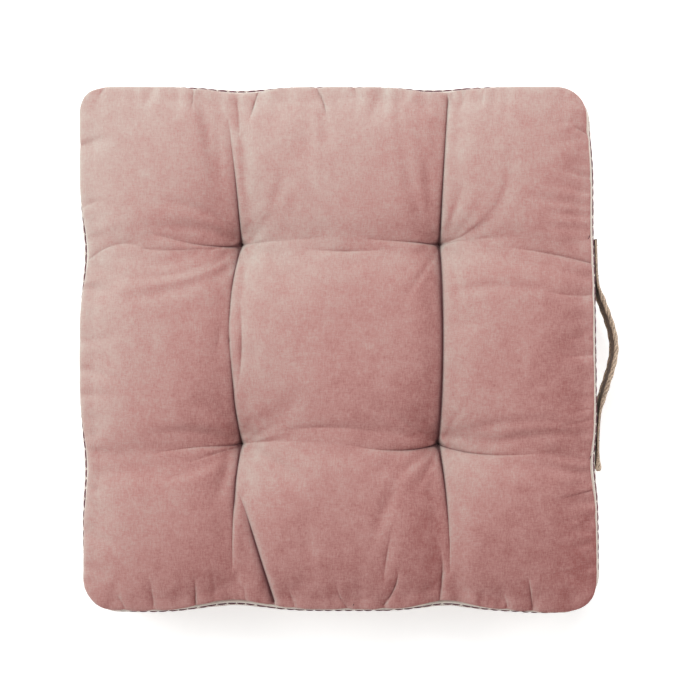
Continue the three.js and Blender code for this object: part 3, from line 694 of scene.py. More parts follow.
def cloth_finish(name, roughness, sheen):
    finish = bpy.data.materials.new(name)
    finish.use_nodes = True
    shader = finish.node_tree.nodes["Principled BSDF"]
    shader.inputs["Roughness"].default_value = roughness
    shader.inputs["Specular IOR Level"].default_value = 0.15
    shader.inputs["Sheen Weight"].default_value = sheen
    return finish, finish.node_tree, shader


def sum_of(tree, *terms, start=0.0):
    """Adds up sockets, each scaled by its own number."""
    total = start
    for socket, scale in terms:
        inputs = {0: socket, 1: scale, 2: total}
        total = node(tree, "Math", inputs, operation="MULTIPLY_ADD").outputs[0]
    return total


def blend(tree, first, second, share):
    """Blends two colours, each a colour or a socket."""
    inputs = {0: share, 6: first, 7: second}
    return node(tree, "Mix", inputs, data_type="RGBA", clamp_factor=True).outputs[2]


def color_by(tree, shader, color):
    tree.links.new(color, shader.inputs["Base Color"])


def raise_by(tree, shader, height, distance):
    bump = node(tree, "Bump", {"Height": height, "Distance": distance, "Strength": 1.0})
    tree.links.new(bump.outputs["Normal"], shader.inputs["Normal"])


def noise(tree, place, scale, size=(1, 1, 1), detail=2.0):
    stretch = node(tree, "Mapping", {"Vector": place, "Scale": size})
    inputs = {"Vector": stretch.outputs[0], "Scale": scale, "Detail": detail}
    return node(tree, "TexNoise", inputs).outputs["Fac"]


def wave(tree, place, pitch, distortion, way="X"):
    inputs = {"Vector": place, "Scale": WAVE / pitch, "Distortion": distortion}
    return node(tree, "TexWave", inputs, bands_direction=way).outputs["Fac"]


def velvet_finish(colors):
    """Velvet whose colour is painted by the way each slope faces: slopes that face left look frosted with
    painted sheen, and the others deep with painted shade.
    """
    finish, tree, shader = cloth_finish("velvet", 0.9, 0.12)
    shader.inputs["Sheen Tint"].default_value = colors.velvet_sheen
    coordinates = node(tree, "TexCoord")
    place = coordinates.outputs["Object"]
    lean = node(tree, "SeparateXYZ", {"Vector": coordinates.outputs["Normal"]})
    spot = node(tree, "SeparateXYZ", {"Vector": place})
    nap = noise(tree, place, 13, detail=4)
    down = noise(tree, place, 1, (820, 210, 210), 3)
    across = noise(tree, place, 1, (210, 900, 210), 3)
    pile = noise(tree, place, 1350, detail=2)
    mottle = noise(tree, place, 75, detail=3)
    crease = node(tree, "Attribute", attribute_name="crease_shade").outputs["Fac"]
    scuff = node(tree, "Attribute", attribute_name="scuff").outputs["Fac"]
    # Painted light and shade: lighter where the surface faces left, towards the back or steeply, and darker
    # where it faces right
    painted_facing_light = sum_of(tree, (lean.outputs["X"], -0.30), (lean.outputs["Y"], 0.15), (lean.outputs["Z"], -0.20))
    weave = sum_of(tree, (down, 0.34), (across, 0.28), (pile, 0.26), (nap, 0.20), (mottle, 0.24))
    # Painted falloff of the light: lighter towards the left and the back, darker towards the front right;
    # with the scuffs and the painted sheen along the seam
    painted_light_and_scuffs = sum_of(tree, (spot.outputs["X"], -0.15), (spot.outputs["Y"], 0.47), (scuff, 0.16))
    share = sum_of(tree, (painted_facing_light, 1.0), (weave, 1.0), (painted_light_and_scuffs, 1.0))
    # The ramp runs from the dark tone, which the painted shade reaches, through the middle tone to a whitish
    # painted sheen
    to_rose = sum_of(tree, (share, 3.72), start=-0.5375)
    to_painted_sheen = sum_of(tree, (share, 1.175), start=-0.4855)
    rose = blend(tree, colors.velvet_deep, colors.velvet_rose, to_rose)
    with_painted_sheen = blend(tree, rose, colors.velvet_frost, to_painted_sheen)
    # Painted shade: darker in the sharp creases
    color_by(tree, shader, blend(tree, with_painted_sheen, colors.velvet_fold, sum_of(tree, (crease, 0.85))))
    raise_by(tree, shader, sum_of(tree, (down, 1.0), (across, 0.8), (pile, 0.7)), 0.0003)
    return finish


def weave_finish(name, dark, light, pitch, depth):
    """A plain weave, with its threads along the piece's own UV."""
    finish, tree, shader = cloth_finish(name, 0.9, 0.12)
    place = node(tree, "UVMap", uv_map="UVMap").outputs[0]
    relief = sum_of(tree, (wave(tree, place, pitch, 0.6), 0.5), (wave(tree, place, pitch, 0.6, "Y"), 0.5))
    slub = noise(tree, place, 1, (260, 900, 1))
    fleck = noise(tree, place, 420)
    share = sum_of(tree, (relief, 0.55), (slub, 0.45), (fleck, 0.30))
    color_by(tree, shader, blend(tree, dark, light, share))
    raise_by(tree, shader, relief, depth)
    return finish


def thread_finish(name, dark, light, relief):
    """Twisted thread or rope, with painted shade between its strands."""
    finish, tree, shader = cloth_finish(name, 0.75, 0.08)
    place = node(tree, "TexCoord").outputs["Object"]
    strand = node(tree, "Attribute", attribute_name="strand").outputs["Fac"]
    fibre = noise(tree, place, 750, detail=3)
    tone = noise(tree, place, 90)
    # The strand term paints shade in the grooves between the strands; the fibre and tone noise are the
    # thread's own colour
    share = sum_of(tree, (strand, 0.40), (fibre, 1.50), (tone, 0.50), start=-0.62)
    color_by(tree, shader, blend(tree, dark, light, share))
    raise_by(tree, shader, sum_of(tree, (strand, 1.0), (fibre, 0.3)), relief)
    return finish


def webbing_finish(dark, light):
    """Braided jute webbing: strands in chevrons across its width."""
    finish, tree, shader = cloth_finish("webbing", 0.85, 0.08)
    place = node(tree, "UVMap", uv_map="UVMap").outputs[0]
    parts = node(tree, "SeparateXYZ", {"Vector": place})
    fold = node(tree, "Math", {0: parts.outputs["Y"], 1: CHEVRON_WIDTH}, operation="PINGPONG").outputs[0]
    lean = sum_of(tree, (parts.outputs["X"], 1.0), (fold, CHEVRON_LEAN))
    strand = node(tree, "CombineXYZ", {"X": lean}).outputs[0]
    chevron = wave(tree, strand, CHEVRON_PITCH, 0.0)
    fibre = noise(tree, place, 1, (900, 2400, 1), 3)
    tone = noise(tree, place, 60)
    share = sum_of(tree, (chevron, 0.34), (fibre, 0.90), (tone, 0.40), start=-0.32)
    color_by(tree, shader, blend(tree, dark, light, share))
    raise_by(tree, shader, chevron, 0.0006)
    return finish


def dress(piece, finish):
    piece.data.materials.clear()
    piece.data.materials.append(finish)
    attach(piece, "root")


class Route:
    """A line that the strap follows off the band, from its upper end to its lower one."""

    def __init__(self, rows):
        knots = np.array(rows)
        last = len(knots) - 1
        t = np.linspace(0, 1, ROUTE_STEPS, endpoint=False)[:, None]
        fine = []
        for step in range(last):
            a, b, c, d = knots[[max(step - 1, 0), step, step + 1, min(step + 2, last)]]
            bend, turn = 2 * a - 5 * b + 4 * c - d, 3 * b - a - 3 * c + d
            fine.append((2 * b + (c - a) * t + bend * t**2 + turn * t**3) / 2)
        self.side, self.out = np.vstack(fine + [knots[-1:]]).T
        self.far = np.concatenate([[0], np.cumsum(np.hypot(np.diff(self.side), np.diff(self.out)))])
        self.length = self.far[-1]
        ahead_side, ahead_out = np.gradient(self.side), np.gradient(self.out)
        size = np.hypot(ahead_side, ahead_out)
        self.off_side, self.off_out = ahead_out / size, -ahead_side / size
        self.fold = self.far[self.side.argmin()]

    def at(self, column, far):
        return np.interp(far, self.far, column)

    def carry(self, points):
        """Carries a strip that runs along x, with y off the route and z up, onto the route by the band."""
        far, off, up = points.T
        side = self.at(self.side, far) + off * self.at(self.off_side, far)
        out = self.at(self.out, far) + off * self.at(self.off_out, far)
        right = (SEAM.out_x > 0.9) & (SEAM.x > 0)
        order = np.argsort(SEAM.y[right])
        along = np.interp(side, SEAM.y[right][order], SEAM.along[right][order])
        return np.stack([along, out + BAND_BULGE + STRAP_SEAT + STRAP_THICKNESS / 2, up], axis=1)


ROUTE = Route(STRAP_ROUTE)


def laid(name, shape):
    """Makes a piece of a strip that follows the strap's route beside the band."""
    bmesh.ops.recalc_face_normals(shape, faces=shape.faces)
    piece = piece_of(name, shape)
    set_points(piece, SEAM.bend(ROUTE.carry(points_of(piece))))
    return piece


def quarter_turn(shape, axis):
    turn = Matrix.Rotation(math.pi / 2, 3, axis)
    bmesh.ops.rotate(shape, verts=shape.verts, cent=(0, 0, 0), matrix=turn)


def strip(length, width, steps, rows):
    """A flat strip from 0 to length along x and from 0 to width up z."""
    shape = bmesh.new()
    bmesh.ops.create_grid(shape, x_segments=steps, y_segments=rows, size=0.5)
    bmesh.ops.translate(shape, verts=shape.verts, vec=(0.5, 0.5, 0))
    bmesh.ops.scale(shape, verts=shape.verts, vec=(length, width, 1))
    quarter_turn(shape, "X")
    return shape


def tube(length, radius, steps, sides, lobe=0.0, turn=0.0, strands=2):
    """A tube along x, from 0 to length. With a lobe it is a rope whose strands turn once in each turn."""
    shape = bmesh.new()
    bmesh.ops.create_circle(shape, segments=sides, radius=radius, cap_ends=False)
    quarter_turn(shape, "Y")
    for vert in shape.verts:
        vert.co.y *= 1 - lobe / radius
    spin = {
        "geom": shape.verts[:] + shape.edges[:], "steps": steps, "cent": (0, 0, 0), "axis": (1, 0, 0),
        "dvec": (length / steps, 0, 0), "angle": 2 * math.pi * length / turn if turn else 0,
    }
    bmesh.ops.spin(shape, **spin)
    bmesh.ops.remove_doubles(shape, verts=shape.verts, dist=1e-7)
    if turn:
        mark_strands(shape, turn, strands)
    return shape


def mark_strands(shape, turn, strands=2):
    """Marks where the strands of a twisted rope or thread along x stand out, from 0 to 1."""
    layer = shape.verts.layers.float.new("strand")
    for vert in shape.verts:
        angle = math.atan2(vert.co.z, vert.co.y) - 2 * math.pi * vert.co.x / turn
        vert[layer] = math.sin(strands * angle / 2) ** 2


def bar(length, radius):
    """One stitch of thick thread along x, with round ends."""
    shape = bmesh.new()
    bmesh.ops.create_uvsphere(shape, u_segments=BAR_SIDES, v_segments=BAR_RINGS, radius=1)
    quarter_turn(shape, "Y")
    bmesh.ops.scale(shape, verts=shape.verts, vec=(length / 2, radius, radius))
    mark_strands(shape, 3 * radius)
    return shape


def repeated(shape, places):
    """Copies a small shape to each place, given as matrices."""
    first = shape.verts[:] + shape.edges[:] + shape.faces[:]
    copies = [first] + [bmesh.ops.duplicate(shape, geom=first)["geom"] for _ in places[1:]]
    for place, parts in zip(places, copies):
        verts = [part for part in parts if isinstance(part, bmesh.types.BMVert)]
        bmesh.ops.transform(shape, matrix=place, verts=verts)
    return shape


def smooth(shape, above, times=1):
    """Smooths what lies above a height."""
    top = [vert for vert in shape.verts if vert.co.z > above]
    for _ in range(times):
        bmesh.ops.smooth_vert(shape, verts=top, factor=0.5, use_axis_x=True, use_axis_y=True, use_axis_z=True)


def own_plan(points):
    return points[:, 0] - SEAM.shift_x, points[:, 1] - SEAM.shift_y


def on_top(points, fade):
    """1 on the pillows and in the tufts, fading to 0 down the roll along the seam."""
    inside = seam_distance(*own_plan(points))[0]
    rolled = rising(points[:, 2] - SEAM_HEIGHT, PILLOW_FOOT, fade)
    return np.where((inside > PILLOW_IN) & (points[:, 2] > SEAM_HEIGHT / 2), 1, rolled)


def number_prop(name, description, default, **kind):
    return bpy.props.FloatProperty(name=name, description=description, default=default, **kind)


def size_prop(name, description, default):
    return number_prop(name, description, default, unit="LENGTH")


def color_prop(name, description, default):
    settings = {"default": (*default, 1), "subtype": "COLOR", "size": 4, "min": 0, "max": 1}
    return bpy.props.FloatVectorProperty(name=name, description=description, **settings)


class CushionSizes(bpy.types.PropertyGroup):
    voxel: size_prop("Mesh size", "Cell of the velvet's mesh before it is refined", 0.0053)
    pressure: number_prop("Filling pressure", "How hard the filling pushes the velvet out", 3)
    swell: size_prop("Swell", "Furthest that the filling moves the velvet", 0.005)
    smaller: size_prop("Start lower", "How much lower the pillows start", 0.002)
    crease: number_prop("Crease depth", "Share of their depth that creases have", 0.72, subtype="FACTOR")
    seed: bpy.props.IntProperty(name="Seed", description="Changes the hand sewing's unevenness", default=7)


class CushionColors(bpy.types.PropertyGroup):
    # Dark end of the velvet's ramp: its own darker tone, and the painted shade on slopes that face away from
    # the light
    velvet_deep: color_prop("Velvet, deep", "Where the pile leans away", (0.334, 0.116, 0.107))
    velvet_rose: color_prop("Velvet", "Its middle tone", (0.495, 0.253, 0.232))
    # Painted sheen where the velvet faces the light
    velvet_frost: color_prop("Velvet, frosted", "Where the pile leans over", (0.696, 0.726, 0.645))
    # Painted shade in the sharp creases
    velvet_fold: color_prop("Velvet, folded", "In its sharp creases", (0.10, 0.030, 0.035))
    velvet_sheen: color_prop("Velvet sheen", "At a low angle", (1, 0.9, 0.87))
    band_dark: color_prop("Band, dark", "Between its threads", (0.30, 0.22, 0.235))
    band_light: color_prop("Band, light", "On its threads", (0.84, 0.76, 0.66))
    piping_dark: color_prop("Piping, dark", "Between its threads", (0.58, 0.47, 0.41))
    piping_light: color_prop("Piping, light", "On its threads", (0.95, 0.88, 0.79))
    # The dark colours of the stitches, strap edges and threads also carry the painted shade between their
    # strands
    stitch_dark: color_prop("Stitches, dark", "Between their strands", (0.045, 0.014, 0.022))
    stitch_light: color_prop("Stitches, light", "On their strands", (0.26, 0.12, 0.145))
    # The webbing's colours are darkened partly as painted shade of its inner face
    webbing_dark: color_prop("Webbing, dark", "Between its strands", (0.065, 0.038, 0.042))
    webbing_light: color_prop("Webbing, light", "On its strands", (0.40, 0.29, 0.21))
    # The strap edge's light colour is partly a painted highlight of its lit top edge
    rope_dark: color_prop("Strap edge, dark", "Between its strands", (0.085, 0.042, 0.044))
    rope_light: color_prop("Strap edge, light", "On its strands", (0.96, 0.76, 0.57))
    thread_dark: color_prop("Thread, dark", "Between its strands", (0.020, 0.008, 0.010))
    thread_light: color_prop("Thread, light", "On its strands", (0.12, 0.05, 0.06))


class StageSizes(bpy.types.PropertyGroup):
    camera_height: size_prop("Camera height", "Height of the camera above the floor", 2.0)
    view_width: size_prop("View width", "What the view spans at the height of the seam", 0.6825)
    key_energy: number_prop("Key light", "Power of the light on the left", 30, unit="POWER")
    side_energy: number_prop("Side light", "Power of the weak light on the right", 7, unit="POWER")
    fill_energy: number_prop("Fill light", "Power of the soft light at the back", 9.5, unit="POWER")


class CUSHION_OT_velvet(bpy.types.Operator):
    """Makes the filled velvet body with its pillows, tufts and creases"""

    bl_idname = "cushion.velvet"
    bl_label = "Velvet body"

    def execute(self, context):
        sizes = context.scene.cushion
        shape = opened(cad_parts["velvet_cushion"])
        bmesh.ops.remove_doubles(shape, verts=shape.verts, dist=WELD)
        body = piece_of("velvet_body", shape)
        remesh = body.modifiers.new("Remesh", "REMESH")
        remesh.mode = "VOXEL"
        remesh.voxel_size = sizes.voxel
        remesh.use_smooth_shade = True
        bake_modifiers(body)
        shape = opened(body)
        smooth(shape, SEAM_HEIGHT + START_SMOOTH, SMOOTH_TIMES)
        put_back(shape, body)
        self.shape_top(body)
        self.roll_edge(body)
        self.fill(body, sizes)
        self.refine(body)
        self.roll_edge(body)
        self.crease(body, sizes)
        dress(body, velvet_finish(context.scene.cushion_colors))
        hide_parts("velvet_cushion")
        return {"FINISHED"}

    def shape_top(self, body):
        """Lays the top on its pillows, with the roll along the seam kept as it is."""
        points = points_of(body)
        x, y = own_plan(points)
        inside = seam_distance(x, y)[0]
        share = rising(inside, PILLOW_FROM, PILLOW_EASE) * (points[:, 2] > SEAM_HEIGHT - PILLOW_FROM)
        points[:, 2] += eased(share) * (top_height(x, y) - points[:, 2])
        set_points(body, points)

    def roll_edge(self, body):
        """Lays the velvet along the seam on its roll, out over the piping, and keeps it behind the band."""
        points = points_of(body)
        x, y = own_plan(points)
        inside, drawn = seam_distance(x, y)
        slope_x = seam_distance(x + SLOPE_STEP, y)[0] - seam_distance(x - SLOPE_STEP, y)[0]
        slope_y = seam_distance(x, y + SLOPE_STEP)[0] - seam_distance(x, y - SLOPE_STEP)[0]
        lean = np.maximum(np.hypot(slope_x, slope_y), 1e-9)
        out_x, out_y = -slope_x / lean, -slope_y / lean
        up = points[:, 2] - SEAM_HEIGHT + SEAM_DIP_SHARE * drawn
        puff = puffed(np.degrees(np.arctan2(out_y, out_x))) - PUFF_LOSS * drawn
        heights = [row.up for row in ROLL]
        rolled = np.interp(up, heights, [row.out for row in ROLL])
        rolled = rolled + puff * np.interp(up, heights, [row.puff for row in ROLL])
        on_roll = np.clip((ROLL_TOP - up) / ROLL_EASE_TOP, 0, 1) * rising(up, ROLL[0].up, ROLL_EASE_FOOT)
        move = (rolled + inside) * on_roll * (inside < ROLL_IN)
        across = rising(up + SEAM_HEIGHT, BAND_BOTTOM, BAND_HEIGHT)
        behind_band = band_out(across) - BAND_THICKNESS - BODY_GAP
        move += np.minimum(behind_band + inside, 0) * (up < 0)
        points[:, 0] += out_x * move
        points[:, 1] += out_y * move
        set_points(body, points)

    def fill(self, body, sizes):
        """Lets the filling push the velvet out where the sewing doesn't hold it."""
        rest = points_of(body)
        x, y = own_plan(rest)
        away = np.min([along_fold(row, x, y)[1] for row in CHANNELS], axis=0)
        held = np.maximum(bell(away, CHANNEL_HOLD), bell(tuft_distance(x, y), TUFT_HOLD))
        pin = 1 - on_top(rest, FILL_FADE) * (1 - held)
        start = rest.copy()
        start[:, 2] -= sizes.smaller * (1 - pin)
        set_points(body, start)
        group = body.vertex_groups.new(name="sewn")
        levels = np.round(pin * 10).astype(int)
        for level in range(1, 11):
            group.add(np.flatnonzero(levels == level).tolist(), level / 10, "REPLACE")
        cloth = body.modifiers.new("Cloth", "CLOTH")
        for name, value in FILLING.items():
            setattr(cloth.settings, name, value)
        cloth.settings.vertex_group_mass = "sewn"
        cloth.settings.uniform_pressure_force = sizes.pressure
        cloth.settings.effector_weights.gravity = 0
        cloth.point_cache.frame_start, cloth.point_cache.frame_end = 1, FILL_FRAMES
        for number in range(1, FILL_FRAMES + 1):
            bpy.context.scene.frame_set(number)
        bake_modifiers(body)
        bpy.context.scene.frame_set(1)
        moved = points_of(body) - rest
        far = np.linalg.norm(moved, axis=1)
        limit = np.minimum(1, sizes.swell / np.maximum(far, 1e-9))
        set_points(body, rest + moved * limit[:, None])
        body.vertex_groups.clear()
        shape = opened(body)
        smooth(shape, SEAM_HEIGHT + FILLED_SMOOTH, SMOOTH_TIMES)
        put_back(shape, body)

    def refine(self, body):
        """Halves the mesh's cells over the whole top, and again beside the creases."""
        shape = opened(body)
        level = SEAM_HEIGHT - REFINE_UNDER
        edges = {edge for face in shape.faces if face.calc_center_median().z > level for edge in face.edges}
        bmesh.ops.subdivide_edges(shape, edges=list(edges), cuts=1, use_grid_fill=True)
        smooth(shape, SEAM_HEIGHT + REFINED_SMOOTH)
        for reach, least in FINE_BESIDE:
            level = SEAM_HEIGHT - FINE_UNDER
            faces = [face for face in shape.faces if face.calc_center_median().z > level]
            x, y = own_plan(np.array([face.calc_center_median() for face in faces]))
            near = tuft_distance(x, y) < 3 * reach
            for row in CREASES:
                if row.soft or max(row.start, row.middle, row.end) < least:
                    continue
                close = near_fold(row, x, y)
                near[close] |= along_fold(row, x[close], y[close])[1] < reach
            edges = {edge for face, chosen in zip(faces, near) if chosen for edge in face.edges}
            bmesh.ops.subdivide_edges(shape, edges=list(edges), cuts=1, use_grid_fill=True)
        put_back(shape, body)

    def crease(self, body, sizes):
        """Lays the creases, small folds and pinched tufts, and marks the painted shade in the sharp creases,
        the scuffs, and the painted sheen along the seam.
        """
        points = points_of(body)
        x, y = own_plan(points)
        high = on_top(points, CREASE_FADE)
        depth, lips, gather = fold_depth(CREASES, x, y)
        small = fold_depth(gathers(sizes.seed), x, y)[0]
        pinch = PINCH_DEPTH * np.exp(-tuft_distance(x, y) / PINCH_REACH)
        points[:, :2] += gather * high[:, None]
        points[:, 2] -= ((depth - lips) * sizes.crease + small + pinch) * high
        set_points(body, points)
        sharp = fold_depth([row for row in CREASES if not row.soft], x, y)[0]
        set_values(body, "crease_shade", np.clip(sharp / SHADE_DEPTH, 0, 1) ** SHADE_POWER * high)
        # Painted sheen: lighter along the seam, away from the corners; the scuffs are the nap's own wear
        rim_sheen = RIM_SHEEN * bell(seam_distance(x, y)[0], RIM_REACH) * off_corner(x, y)
        set_values(body, "scuff", np.clip(fold_depth(SCUFFS, x, y)[0], 0, 1) * high + rim_sheen)
        body.data.shade_smooth()


class CUSHION_OT_band(bpy.types.Operator):
    """Makes the woven side band"""

    bl_idname = "cushion.band"
    bl_label = "Side band"

    def execute(self, context):
        colors = context.scene.cushion_colors
        shape = strip(SEAM.length, BAND_HEIGHT, BAND_STEPS, BAND_ROWS)
        lay_uv(shape, lambda place: place.z)
        places = np.array([vert.co for vert in shape.verts])
        across = places[:, 2] / BAND_HEIGHT
        turns = 2 * math.pi * places[:, 0] / SEAM.length
        ripple = (np.sin(61 * turns + 3 * np.sin(7 * turns)) + np.sin(97 * turns + 2)) / 2 * BAND_RIPPLE
        places[:, 1] = band_out(across) + ripple * bulge(across)
        places[:, 2] += BAND_BOTTOM
        for vert, place in zip(shape.verts, places):
            vert.co = place
        band = wrapped("woven_side_band", shape)
        close_strip(band)
        thicken(band, BAND_THICKNESS)
        finish = weave_finish("woven_band", colors.band_dark, colors.band_light, *BAND_WEAVE)
        dress(band, finish)
        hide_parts("side_band")
        return {"FINISHED"}


class CUSHION_OT_piping(bpy.types.Operator):
    """Makes the piping and the whipped stitches under it"""

    bl_idname = "cushion.piping"
    bl_label = "Piping and stitches"

    def execute(self, context):
        colors = context.scene.cushion_colors
        shape = tube(SEAM.length, PIPING_RADIUS, PIPING_STEPS, PIPING_SIDES)
        lay_uv(shape, lambda place: PIPING_RADIUS * math.atan2(place.z, place.y))
        bmesh.ops.translate(shape, verts=shape.verts, vec=(0, 0, PIPING_HEIGHT))
        piping = wrapped("top_piping_cord", shape)
        close_strip(piping)
        finish = weave_finish("piping_cloth", colors.piping_dark, colors.piping_light, *PIPING_WEAVE)
        dress(piping, finish)
        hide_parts("top_piping")
        places = self.stitch_places(random.Random(context.scene.cushion.seed))
        stitches = wrapped("whipped_stitches", repeated(bar(STITCH_LENGTH, STITCH_THICKNESS / 2), places))
        finish = thread_finish("plum_thread", colors.stitch_dark, colors.stitch_light, 0.0003)
        dress(stitches, finish)
        return {"FINISHED"}

    def stitch_places(self, dice):
        """Where the stitches lie along the band's upper edge, each a little off."""
        count = round(SEAM.length / STITCH_PITCH)
        places = []
        for number in range(count):
            along = SEAM.length * (number + 0.5 + dice.uniform(-STITCH_STRAYS, STITCH_STRAYS)) / count
            out = STITCH_OUT - STITCH_TUCK * SEAM.at(SEAM.tucked, along)
            up = STITCH_HEIGHT + dice.uniform(-STITCH_RISES, STITCH_RISES)
            lean = Matrix.Rotation(STITCH_SLANT + dice.uniform(-STITCH_LEANS, STITCH_LEANS), 4, "Y")
            size = Matrix.Diagonal((dice.uniform(*STITCH_LONG), 1, dice.uniform(*STITCH_THICK), 1))
            places.append(Matrix.Translation((along, out, up)) @ lean @ size)
        return places


class CUSHION_OT_strap(bpy.types.Operator):
    """Makes the carrying strap with its folded end and roped edges"""

    bl_idname = "cushion.strap"
    bl_label = "Carrying strap"

    def execute(self, context):
        colors = context.scene.cushion_colors
        low = STRAP_MIDDLE - STRAP_WIDTH / 2
        shape = strip(ROUTE.length, STRAP_WIDTH, STRAP_STEPS, STRAP_ROWS)
        lay_uv(shape, lambda place: place.z)
        bmesh.ops.translate(shape, verts=shape.verts, vec=(0, -STRAP_THICKNESS / 2, low))
        strap = laid("webbing_strap", shape)
        thicken(strap, STRAP_THICKNESS)
        dress(strap, webbing_finish(colors.webbing_dark, colors.webbing_light))
        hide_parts("handle_strap")
        finish = thread_finish("jute_rope", colors.rope_dark, colors.rope_light, 0.0006)
        for name, height in (("strap_edge_top", low + STRAP_WIDTH), ("strap_edge_bottom", low)):
            edge = laid(name, self.rope(height))
            dress(edge, finish)
        return {"FINISHED"}

    def rope(self, height):
        """One roped edge, thinner at its ends and flat where the strap is sewn down."""
        rope = tube(ROUTE.length, ROPE_RADIUS, ROPE_STEPS, ROPE_SIDES, ROPE_LOBE, ROPE_TURN, ROPE_STRANDS)
        bmesh.ops.holes_fill(rope, edges=[edge for edge in rope.edges if edge.is_boundary])
        for vert in rope.verts:
            from_end = min(vert.co.x, ROUTE.length - vert.co.x) / ROPE_TAPER
            taper = math.sqrt(min(1, ROPE_END + from_end))
            sewn = bell(ROUTE.at(ROUTE.out, vert.co.x), ROPE_SEWN_REACH)
            sewn *= 1 - bell(vert.co.x - ROUTE.fold, FOLD_REACH)
            vert.co.y = vert.co.y * taper * (1 - ROPE_FLAT * sewn) - ROPE_IN * sewn
            vert.co.z *= taper
        bmesh.ops.translate(rope, verts=rope.verts, vec=(0, 0, height))
        return rope


class CUSHION_OT_threads(bpy.types.Operator):
    """Makes the threads that tie the tufts and tack the strap"""

    bl_idname = "cushion.threads"
    bl_label = "Tuft and tack threads"

    def execute(self, context):
        colors = context.scene.cushion_colors
        finish = thread_finish("dark_thread", colors.thread_dark, colors.thread_light, 0.0001)
        points = points_of(bpy.data.objects["velvet_body"])
        ties = repeated(bar(THREAD_LENGTH, THREAD_RADIUS), self.tie_places(points))
        dress(piece_of("tuft_threads", ties), finish)
        tacks = laid("strap_tacks", repeated(bar(TACK_LENGTH, TACK_RADIUS), self.tack_places()))
        dress(tacks, finish)
        return {"FINISHED"}

    def tie_places(self, points):
        """Two stitches at the top and the bottom of each tuft, and the thread ends on the velvet's edge."""
        x, y = own_plan(points)
        up = points[:, 2]
        places = []
        for tuft in TUFTS:
            near = np.hypot(x - tuft.x, y - tuft.y) < PIT_NEAR
            pit, under = up[near & (up > HALF_UP)].min(), up[near & (up < HALF_UP)].max()
            for height in (pit + THREAD_OFF, under - THREAD_OFF):
                for lean, aside in TUFT_STITCHES:
                    spot = (tuft.x + SEAM.shift_x + aside, tuft.y + SEAM.shift_y, height)
                    places.append(Matrix.Translation(spot) @ Matrix.Rotation(lean, 4, "Z"))
        for dot_x, dot_y in THREAD_DOTS:
            near = np.hypot(x - dot_x, y - dot_y) < DOT_NEAR
            spot = (dot_x + SEAM.shift_x, dot_y + SEAM.shift_y, up[near].max())
            places.append(Matrix.Translation(spot) @ Matrix.Rotation(DOT_LEAN, 4, "Z"))
        return places

    def tack_places(self):
        """Rows of short stitches across the strap's sewn ends."""
        places = []
        for tack in STRAP_TACKS:
            outer = np.abs(ROUTE.side - tack) < TACK_NEAR
            far = ROUTE.far[outer][np.argmax(ROUTE.out[outer])]
            for number in range(TACKS_ACROSS):
                up = STRAP_MIDDLE + (number - (TACKS_ACROSS - 1) / 2) * TACK_PITCH
                spot = (far, STRAP_THICKNESS / 2 + TACK_OFF, up)
                places.append(Matrix.Translation(spot) @ Matrix.Rotation(TACK_LEAN, 4, "Y"))
        return places


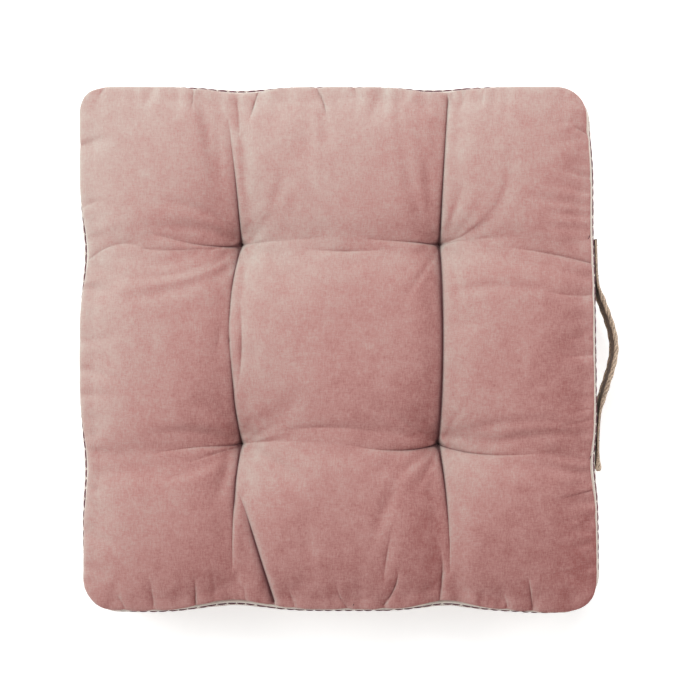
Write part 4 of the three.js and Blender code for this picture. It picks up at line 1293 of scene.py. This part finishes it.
class CUSHION_OT_stage(bpy.types.Operator):
    """Makes the floor, the lights and the camera"""

    bl_idname = "cushion.stage"
    bl_label = "Stage"

    def execute(self, context):
        sizes = context.scene.stage
        self.floor()
        self.sky(context.scene)
        for lamp in LAMPS:
            self.light(lamp, getattr(sizes, lamp.name + "_energy"))
        lens = bpy.data.cameras.new("camera")
        lens.lens = lens.sensor_width * (sizes.camera_height - VIEW_LEVEL) / sizes.view_width
        camera = link("camera", lens)
        camera.location = (CAMERA_ASIDE, CAMERA_BACK, sizes.camera_height)
        context.scene.camera = camera
        context.scene.view_settings.view_transform = "Standard"
        return {"FINISHED"}

    def floor(self):
        shape = bmesh.new()
        bmesh.ops.create_grid(shape, x_segments=FLOOR_STEPS, y_segments=FLOOR_STEPS, size=FLOOR_SIZE)
        for vert in shape.verts:
            vert.co.z = FLOOR_RISE * max(vert.co.xy.length - FLOOR_FLAT, 0) ** 2 - FLOOR_GAP
        floor = piece_of("floor", shape)
        paint = bpy.data.materials.new("floor_paper")
        paint.use_nodes = True
        shader = paint.node_tree.nodes["Principled BSDF"]
        shader.inputs["Base Color"].default_value = FLOOR_COLOR
        shader.inputs["Roughness"].default_value = 0.8
        shader.inputs["Emission Color"].default_value = (1, 1, 1, 1)
        shader.inputs["Emission Strength"].default_value = FLOOR_GLOW
        floor.data.materials.append(paint)

    def sky(self, scene):
        scene.world = bpy.data.worlds.new("studio")
        scene.world.use_nodes = True
        background = scene.world.node_tree.nodes["Background"]
        background.inputs["Color"].default_value = SKY_COLOR
        background.inputs["Strength"].default_value = SKY_STRENGTH

    def light(self, lamp, energy):
        light = bpy.data.lights.new(lamp.name, "AREA")
        light.energy = energy
        light.size = lamp.size
        made = link(lamp.name, light)
        made.location = lamp.place
        made.rotation_euler = (Vector((0, 0, 0.05)) - made.location).to_track_quat("-Z", "Y").to_euler()


OPERATORS = [
    CUSHION_OT_stage,
    CUSHION_OT_velvet,
    CUSHION_OT_band,
    CUSHION_OT_piping,
    CUSHION_OT_strap,
    CUSHION_OT_threads,
]


class CUSHION_PT_panel(bpy.types.Panel):
    """Lists the cushion's sizes and colours and the steps that make it"""

    bl_idname = "CUSHION_PT_panel"
    bl_label = "Tufted floor cushion"
    bl_space_type = "VIEW_3D"
    bl_region_type = "UI"
    bl_category = "Cushion"

    def draw(self, context):
        scene = context.scene
        for group in (scene.cushion, scene.cushion_colors, scene.stage):
            for name in group.bl_rna.properties.keys():
                if name not in ("rna_type", "name"):
                    self.layout.prop(group, name)
        for step in OPERATORS:
            self.layout.operator(step.bl_idname)


CLASSES = [CushionSizes, CushionColors, StageSizes, *OPERATORS, CUSHION_PT_panel]


def register():
    for kind in CLASSES:
        bpy.utils.register_class(kind)
    bpy.types.Scene.cushion = bpy.props.PointerProperty(type=CushionSizes)
    bpy.types.Scene.cushion_colors = bpy.props.PointerProperty(type=CushionColors)
    bpy.types.Scene.stage = bpy.props.PointerProperty(type=StageSizes)


def unregister():
    del bpy.types.Scene.cushion
    del bpy.types.Scene.cushion_colors
    del bpy.types.Scene.stage
    for kind in reversed(CLASSES):
        bpy.utils.unregister_class(kind)


def main():
    register()
    bpy.ops.cushion.stage()
    bpy.ops.cushion.velvet()
    bpy.ops.cushion.band()
    bpy.ops.cushion.piping()
    bpy.ops.cushion.strap()
    bpy.ops.cushion.threads()


if __name__ == "__main__":
    main()
